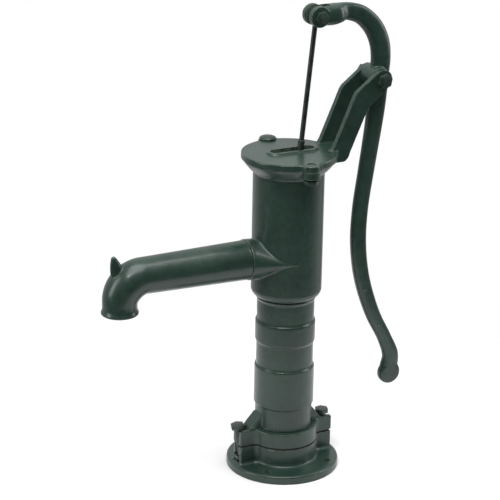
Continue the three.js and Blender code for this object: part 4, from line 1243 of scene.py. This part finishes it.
handle = casting(
    "handle_casting",
    [
        swept("bar", bar_path, 56, 3.0),
        knob,
        vent_pips,
        disc_y(HUB_R, GAP - FORK_HALF_GAP, FORK_HALF_GAP - GAP, *PIVOT, 96),
        disc_y(CHEEK_R, -CHEEK_HALF_WIDTH, CHEEK_HALF_WIDTH, *HEAD_PIN, 96),
    ],
    [
        cheek_gap,
        disc_y(HOLE_M10, -30, 30, *HEAD_PIN),
        disc_y(HOLE_M12, -30, 30, *PIVOT),
    ],
    grain=0.95,
    passes=5,
    seed=6.0,
)
stand_for(handle, "handle", "handle")

# %% [markdown]
# ## Bolts and nuts
#
# Eleven fasteners of two sizes do all the holding. One tree makes them: a hexagon whose corners
# are chamfered by a cone, a shank, and a real helix for the thread. Inputs set the sizes, so the
# M10 and M12 bolts differ in numbers only. A nut is the same hexagon with a hole.

# %% Fastener trees
FLATS_M12, HEAD_M12, NUT_M12, SHANK_M12 = 19.0, 7.5, 10.8, 6.0
FLATS_M10, HEAD_M10, NUT_M10, SHANK_M10 = 17.0, 6.4, 8.4, 5.0
FLAT_TOP = 0.475  # radius of the head's flat top, for each millimetre across the flats
HAT = 1.4  # height of the cone, for each millimetre of the head's
CONE_SLOPE = math.sqrt(3)
CORE, RIDGE_R = 0.94, 0.93  # of the shank's radius
RIDGE = 0.3  # of the pitch
OVERLAP = 0.1
THREAD_PITCH = 1.6
PAINT_ROUND = 0.35


def raised_by(graph, geometry, height):
    lift = graph.node("ShaderNodeCombineXYZ", inputs={2: height})
    return graph.node(
        "GeometryNodeTransform", inputs={"Geometry": geometry, "Translation": lift}
    )


def chamfered_hexagon(graph, flats, height):
    """A hexagon standing on z = 0, its upper corners taken off by a cone."""
    prism_mesh = graph.node(
        "GeometryNodeMeshCylinder",
        inputs={"Vertices": 6, "Radius": flats / math.sqrt(3), "Depth": height},
    )
    top = flats * FLAT_TOP
    cone = graph.node(
        "GeometryNodeMeshCone",
        inputs={"Vertices": 64, "Radius Top": top, "Radius Bottom": top + height * CONE_SLOPE * HAT,
                "Depth": height * HAT},
    )
    body = raised_by(graph, prism_mesh, height * 0.5)
    hat = raised_by(graph, cone.out("Mesh"), height * (1 - HAT / 2))
    joined = graph.node("GeometryNodeMeshBoolean", {"operation": "INTERSECT"}, {"Mesh 2": body})
    graph.tree.links.new(hat.socket, joined.node.inputs["Mesh 2"])
    return joined


def bolt_tree():
    graph, given = geometry_tree(
        "Hexagon bolt",
        {"Flats": "NodeSocketFloat", "Head": "NodeSocketFloat", "Shank": "NodeSocketFloat",
         "Length": "NodeSocketFloat", "Thread": "NodeSocketFloat", "Pitch": "NodeSocketFloat",
         "Finish": "NodeSocketMaterial"},
    )
    shank, length = given.out("Shank"), given.out("Length")
    thread, pitch = given.out("Thread"), given.out("Pitch")
    head = chamfered_hexagon(graph, given.out("Flats"), given.out("Head"))
    stem = graph.node(
        "GeometryNodeMeshCylinder",
        inputs={"Vertices": 48, "Radius": shank * CORE, "Depth": length + 2 * OVERLAP * MM},
    )
    stem = raised_by(graph, stem, length * -0.5 + OVERLAP * MM)
    helix = graph.node(
        "GeometryNodeCurveSpiral",
        inputs={"Resolution": 24, "Rotations": thread / pitch, "Start Radius": shank * RIDGE_R,
                "End Radius": shank * RIDGE_R, "Height": thread - pitch},
    )
    ridge = graph.node(
        "GeometryNodeCurvePrimitiveCircle", inputs={"Resolution": 6, "Radius": pitch * RIDGE}
    )
    thread_mesh = graph.node(
        "GeometryNodeCurveToMesh", inputs={"Curve": helix, "Profile Curve": ridge, "Fill Caps": True}
    )
    thread_mesh = raised_by(graph, thread_mesh, pitch * 0.5 - length)
    whole = graph.node("GeometryNodeJoinGeometry", inputs={0: head})
    for part in (stem, thread_mesh):
        graph.tree.links.new(part.socket, whole.node.inputs[0])
    return close_tree(graph, whole, given.out("Finish"))


def nut_tree():
    graph, given = geometry_tree(
        "Hexagon nut",
        {"Flats": "NodeSocketFloat", "Height": "NodeSocketFloat", "Bore": "NodeSocketFloat",
         "Finish": "NodeSocketMaterial"},
    )
    hexagon = chamfered_hexagon(graph, given.out("Flats"), given.out("Height"))
    drill = graph.node(
        "GeometryNodeMeshCylinder", inputs={"Vertices": 48, "Radius": given.out("Bore"), "Depth": 0.08}
    )
    bored = graph.node(
        "GeometryNodeMeshBoolean", {"operation": "DIFFERENCE"}, {"Mesh 1": hexagon, "Mesh 2": drill}
    )
    return close_tree(graph, bored, given.out("Finish"))


BOLT = bolt_tree()
NUT = nut_tree()


def soft_edges(obj):
    """A narrow round on every sharp edge, as paint leaves it."""
    bevel = obj.modifiers.new("Paint round", "BEVEL")
    bevel.width = PAINT_ROUND * MM
    bevel.segments = 3
    bevel.limit_method = "ANGLE"
    bevel.angle_limit = math.radians(28)
    return smooth_faces(settle(obj))


def bolt(name, flats, head, shank, length, thread=14.0):
    """A bolt along -Z, with its head standing on z = 0."""
    values = {"Flats": flats * MM, "Head": head * MM, "Shank": shank * MM, "Length": length * MM,
              "Thread": thread * MM, "Pitch": THREAD_PITCH * MM, "Finish": fastener_paint}
    return soft_edges(tidy(run_tree(mesh_object(name, [(0, 0, 0)]), BOLT, values)))


def nut(name, flats, height, bore):
    """A nut standing on z = 0."""
    values = {"Flats": flats * MM, "Height": height * MM, "Bore": bore * MM, "Finish": fastener_paint}
    return soft_edges(tidy(run_tree(mesh_object(name, [(0, 0, 0)]), NUT, values)))


HEAD_TO_FRONT = rotation(90, "X")
HEAD_TO_REAR = rotation(-90, "X")
UPSIDE_DOWN = rotation(180, "X")


def seat(obj, x, y, z, turn=None, spin=0.0):
    """Spins a fastener about its own axis, turns it, and moves it to its seat."""
    place(obj, rotation(spin, "Z"))
    if turn:
        place(obj, turn)
    return place(obj, offset(x, y, z))


def fasten(obj, body, node):
    """Ties a fastener to its body, in place of the plain solid of this name."""
    stand_for(obj, body, node, slot="painted_fasteners")


# %% [markdown]
# ### The clamp's bolts
#
# Two bolts pull the ring onto the neck. Each nut sits in its pocket in the foot. The bolt on the
# spout's side leans outwards, so bolt and nut are turned together about the nut's middle.

# %% The clamp
FLATS_CLAMP, HEAD_CLAMP, CLAMP_BOLT_LENGTH = 18.0, 9.0, 48.3
NUT_MIDDLE = sum(POCKET) / 2
for label, bolt_x, lean in (("spout_side", SPOUT_SIDE_BOLT_X, -8.0), ("handle_side", LUG_BOLT_X, 0.0)):
    leaning = rotation(lean, "Y")
    reach = (RING_TOP + GAP - NUT_MIDDLE) / math.cos(math.radians(lean))
    clamp_bolt = bolt(f"clamp_screw_{label}", FLATS_CLAMP, HEAD_CLAMP, SHANK_M10, CLAMP_BOLT_LENGTH, 26.0)
    clamp_bolt = place(seat(clamp_bolt, 0, 0, reach, spin=12), leaning)
    fasten(seat(clamp_bolt, bolt_x, 0, NUT_MIDDLE), "stand", f"clamp_bolt_{label}")
    clamp_nut = nut(f"clamp_hex_nut_{label}", FLATS_M10, NUT_M10, HOLE_M10)
    clamp_nut = place(seat(clamp_nut, 0, 0, -NUT_M10 / 2, spin=30), leaning)
    fasten(seat(clamp_nut, bolt_x, 0, NUT_MIDDLE), "stand", f"clamp_nut_{label}")

# %% [markdown]
# ### The cover's bolts
#
# The bolt at the back has a round cup head, so a lathe makes its head and the bolt tree its
# shank. The one at the front is put in from below and screws into the cover.

# %% One cup head and one hexagon
CUP_R, CUP_EDGE, CUP_RISE = 12.5, 1.0, 4.5
REAR_BOLT_LENGTH, FRONT_BOLT_LENGTH = 35.0, 19.8
cup_profile = [(0, 0), (CUP_R - 0.3, 0), (CUP_R, CUP_EDGE - 0.1)]
for degrees in range(8, 90, 6):
    angle = math.radians(degrees)
    cup_profile.append((CUP_R * math.cos(angle), CUP_EDGE + CUP_RISE * math.sin(angle)))
cup_profile.append((0, CUP_EDGE + CUP_RISE))
cup_head = turned("cup", cup_profile, 96, fastener_paint)
cup_shank = bolt("shank", 9.0, 1.0, SHANK_M12, REAR_BOLT_LENGTH, 20.0)
cup_bolt = smooth_faces(merge("cover_screw_rear", [cup_head, cup_shank], fastener_paint))
fasten(seat(cup_bolt, 0, COVER_BOLT_Y, COVER_TOP + GAP), "stand", "cover_bolt_rear")
under_pad = PAD_BOTTOM - GAP
rear_nut = nut("cover_hex_nut_rear", FLATS_M12, NUT_M12, HOLE_M12)
fasten(seat(rear_nut, 0, COVER_BOLT_Y, under_pad, UPSIDE_DOWN, 10), "stand", "cover_nut_rear")
front_bolt = bolt("cover_screw_front", FLATS_M12, HEAD_M12, SHANK_M12, FRONT_BOLT_LENGTH)
fasten(seat(front_bolt, 0, -COVER_BOLT_Y, under_pad, UPSIDE_DOWN, 20), "stand", "cover_bolt_front")

# %% [markdown]
# ### The handle's two pins
#
# The pivot bolt crosses the fork and stays still while the handle turns on it. The head pin
# crosses the two cheeks, moves with the handle, and carries the rod's eye.

# %% Pivot bolt and head pin
PIVOT_BOLT_LENGTH, HEAD_PIN_LENGTH = 63.8, 40.4
pivot_bolt = bolt("pivot_screw", FLATS_M12, HEAD_M12, SHANK_M12, PIVOT_BOLT_LENGTH, 22.0)
seat(pivot_bolt, PIVOT[0], -fork_half_width - GAP, PIVOT[1], HEAD_TO_FRONT, 18)
fasten(pivot_bolt, "stand", "pivot_bolt")
pivot_nut = nut("pivot_hex_nut", FLATS_M12, NUT_M12, HOLE_M12)
seat(pivot_nut, PIVOT[0], fork_half_width + GAP, PIVOT[1], HEAD_TO_REAR, 5)
fasten(pivot_nut, "stand", "pivot_nut")
pin_bolt = bolt("rod_pin_screw", FLATS_M10, HEAD_M10, SHANK_M10, HEAD_PIN_LENGTH, 18.0)
seat(pin_bolt, HEAD_PIN[0], -CHEEK_HALF_WIDTH - GAP, HEAD_PIN[1], HEAD_TO_FRONT, 8)
fasten(pin_bolt, "handle", "rod_pin_bolt")
pin_nut = nut("rod_pin_hex_nut", FLATS_M10, NUT_M10, HOLE_M10)
seat(pin_nut, HEAD_PIN[0], CHEEK_HALF_WIDTH + GAP, HEAD_PIN[1], HEAD_TO_REAR, 25)
fasten(pin_nut, "handle", "rod_pin_nut")

# %% [markdown]
# ## The rod
#
# A thin rod with a forged eye hangs from the head pin, leans in through the cover's slot and
# screws into a thicker rod whose end is bent into a loop round the piston's pin.

# %% Eye rod and loop rod
GUDGEON_Z = 305.0
ROD_JOINT_Z = 494.0
THIN_ROD_R, THICK_ROD_R, LOOP_BAR_R = 3.6, 4.8, 3.5
EYE_R, EYE_HALF_THICKNESS, EYE_ROUND = 11.0, 4.5, 1.5
LOOP_STEPS = 72
ROD_LEAN = math.atan2(HEAD_PIN[0], HEAD_PIN[1] - GUDGEON_Z)
ROD_LENGTH = math.hypot(HEAD_PIN[0], HEAD_PIN[1] - GUDGEON_Z)
UPPER_ROD = (HEAD_PIN[1] - ROD_JOINT_Z) / math.cos(ROD_LEAN)
LOOP_R = 17.1
hang = offset(HEAD_PIN[0], 0, HEAD_PIN[1]) @ Matrix.Rotation(ROD_LEAN, 4, "Y")

rim = EYE_R - EYE_ROUND
side = EYE_HALF_THICKNESS - EYE_ROUND
eye_profile = [
    (HOLE_M10, -EYE_HALF_THICKNESS), *arc_points(rim, -side, EYE_ROUND, 270, 360, 5),
    *arc_points(rim, side, EYE_ROUND, 0, 90, 5), (HOLE_M10, EYE_HALF_THICKNESS),
    (HOLE_M10, -EYE_HALF_THICKNESS),
]
eye = place(turned("eye", eye_profile, 96, rod_paint), TURN_TO_Y)
thin_bar = round_bar("bar", [(0, -8), (0, -UPPER_ROD - 14)], THIN_ROD_R, 40, finish=rod_paint)
eye_rod = merge("upper_rod", [eye, thin_bar], rod_paint)
place(eye_rod, hang)
stand_for(smooth_faces(eye_rod), "pump_rod", "eye_rod", slot="rod_steel")

loop_points = []
for i in range(LOOP_STEPS):
    angle = math.tau * i / LOOP_STEPS
    loop_points.append((LOOP_R * math.cos(angle), LOOP_R * math.sin(angle) - ROD_LENGTH))
loop = round_bar("loop", loop_points, LOOP_BAR_R, 32, True, rod_paint)
thick_stations = [
    (0, LOOP_R - ROD_LENGTH, THICK_ROD_R, THICK_ROD_R), (0, -UPPER_ROD - 0.6, THICK_ROD_R, THICK_ROD_R),
    (0, -UPPER_ROD, THICK_ROD_R - 0.6, THICK_ROD_R - 0.6),
]
thick_bar = swept("shank", thick_stations, 40, finish=rod_paint)
loop_rod = merge("lower_rod", [loop, thick_bar], rod_paint)
place(loop_rod, hang)
stand_for(smooth_faces(loop_rod), "pump_rod", "loop_rod", slot="rod_steel")

# %% [markdown]
# ## What stays as it was packed
#
# The foot valve and the piston are simple turned parts deep inside. Their solids already have
# the right shape, so they keep it and only get their finishes.

# %% Inner pieces
INNER_FINISHES = {
    "foot_valve_flap": pump_leather, "cup_leather": pump_leather,
    "foot_valve_weight": bare_iron, "piston_clamp_ring": bare_iron, "piston_body": bare_iron,
    "foot_valve_screw": valve_brass, "piston_valve": valve_brass, "gudgeon_pin": rod_paint,
}
for node_name, finish in INNER_FINISHES.items():
    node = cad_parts[node_name]
    node.data.materials.clear()
    node.data.materials.append(finish)
print("inner pieces:", len(INNER_FINISHES))

# %% [markdown]
# ## The studio
#
# A pale round floor, a bright surround, and soft boxes above and at the sides. The room in front
# of the pump is dark, so that the enamel's front stays deep and only its flanks shine. The
# camera sees plain white behind the pump, whatever the enamel reflects.

# %% Floor
FLOOR_R, FLOOR_Z = 620.0, -0.3
floor_material, floor_graph = new_material("pale_floor")
floor_shader = floor_graph.node(
    "ShaderNodeBsdfPrincipled", inputs={"Base Color": (0.97, 0.97, 0.97, 1), "Roughness": 0.9}
)
floor_graph.node("ShaderNodeOutputMaterial", inputs={"Surface": floor_shader})
floor = turned("floor", [(0, FLOOR_Z), (FLOOR_R, FLOOR_Z)], 96, floor_material)
print("floor radius:", FLOOR_R, "mm")

# %% Surround
AZIMUTH = math.radians(-28.0)  # of the camera, from -Y
ROOM, REAR_WALL, CEILING = 0.05, 0.62, 0.24  # brightness in reflections
world = bpy.data.worlds.new("studio")
scene.world = world
world.use_nodes = True
world.node_tree.nodes.clear()
sky = Graph(world.node_tree)
direction = sky.node("ShaderNodeSeparateXYZ", inputs={0: sky.node("ShaderNodeTexCoord").out("Generated")})
front = Vector((math.sin(AZIMUTH), -math.cos(AZIMUTH)))
toward_front = direction.out("X") * front.x + direction.out("Y") * front.y
rear = soft_step(sky, toward_front, 0.35, -0.75)
above = soft_step(sky, direction.out("Z"), 0.1, 0.9)
reflected = ROOM + rear * REAR_WALL + above * CEILING
seen = sky.node("ShaderNodeLightPath").out("Is Camera Ray")
strength = seen * (1.0 - reflected) + reflected
background = sky.node("ShaderNodeBackground", inputs={"Color": (1, 1, 1, 1), "Strength": strength})
sky.node("ShaderNodeOutputWorld", inputs={"Surface": background})
print("surround:", len(world.node_tree.nodes), "nodes")


# %% Soft boxes
def soft_box(name, location, target, width, height, power):
    light = bpy.data.lights.new(name, "AREA")
    light.shape = "RECTANGLE"
    light.size = width
    light.size_y = height
    light.energy = power
    obj = bpy.data.objects.new(name, light)
    obj.location = location
    obj.rotation_mode = "QUATERNION"
    obj.rotation_quaternion = (Vector(target) - Vector(location)).to_track_quat("-Z", "Y")
    scene.collection.objects.link(obj)
    print("soft box:", name)


LOWER_BODY, MIDDLE = (0, 0, 0.3), (0, 0, 0.35)
soft_box("overhead", (-0.2, -0.35, 1.9), LOWER_BODY, width=1.3, height=1.3, power=26)
soft_box("key", (-0.96, -1.03, 1.99), LOWER_BODY, width=0.3, height=0.3, power=7)
soft_box("left", (-1.7, 0.1, 0.9), MIDDLE, width=0.5, height=1.3, power=12)
soft_box("right", (1.3, -0.5, 0.9), MIDDLE, width=0.4, height=1.3, power=8)

# %% [markdown]
# ## The camera
#
# A long lens from the left front, a little above the pump. The small roll and shift set the
# frame slightly off level, as a hand-held camera does.

# %% Camera
ELEVATION, ROLL = math.radians(19.5), math.radians(1.394)
TARGET = Vector((0, 0, 0.34))
DISTANCE = 2.989
camera_data = bpy.data.cameras.new("camera")
camera_data.sensor_width = 36.0
camera_data.lens = 150.35
camera_data.shift_x = -0.0742
camera_data.shift_y = -0.0106
camera = bpy.data.objects.new("camera", camera_data)
scene.collection.objects.link(camera)
back = Vector((
    math.sin(AZIMUTH) * math.cos(ELEVATION),
    -math.cos(AZIMUTH) * math.cos(ELEVATION),
    math.sin(ELEVATION),
))
right = Vector((math.cos(AZIMUTH), math.sin(AZIMUTH), 0))
up = back.cross(right)
rolled_right = right * math.cos(ROLL) + up * math.sin(ROLL)
rolled_up = up * math.cos(ROLL) - right * math.sin(ROLL)
axes = Matrix((rolled_right, rolled_up, back)).transposed()
camera.matrix_world = Matrix.Translation(TARGET + back * DISTANCE) @ axes.to_4x4()
scene.camera = camera
scene.view_settings.view_transform = "Standard"
print("camera:", [round(v, 3) for v in camera.matrix_world.translation])
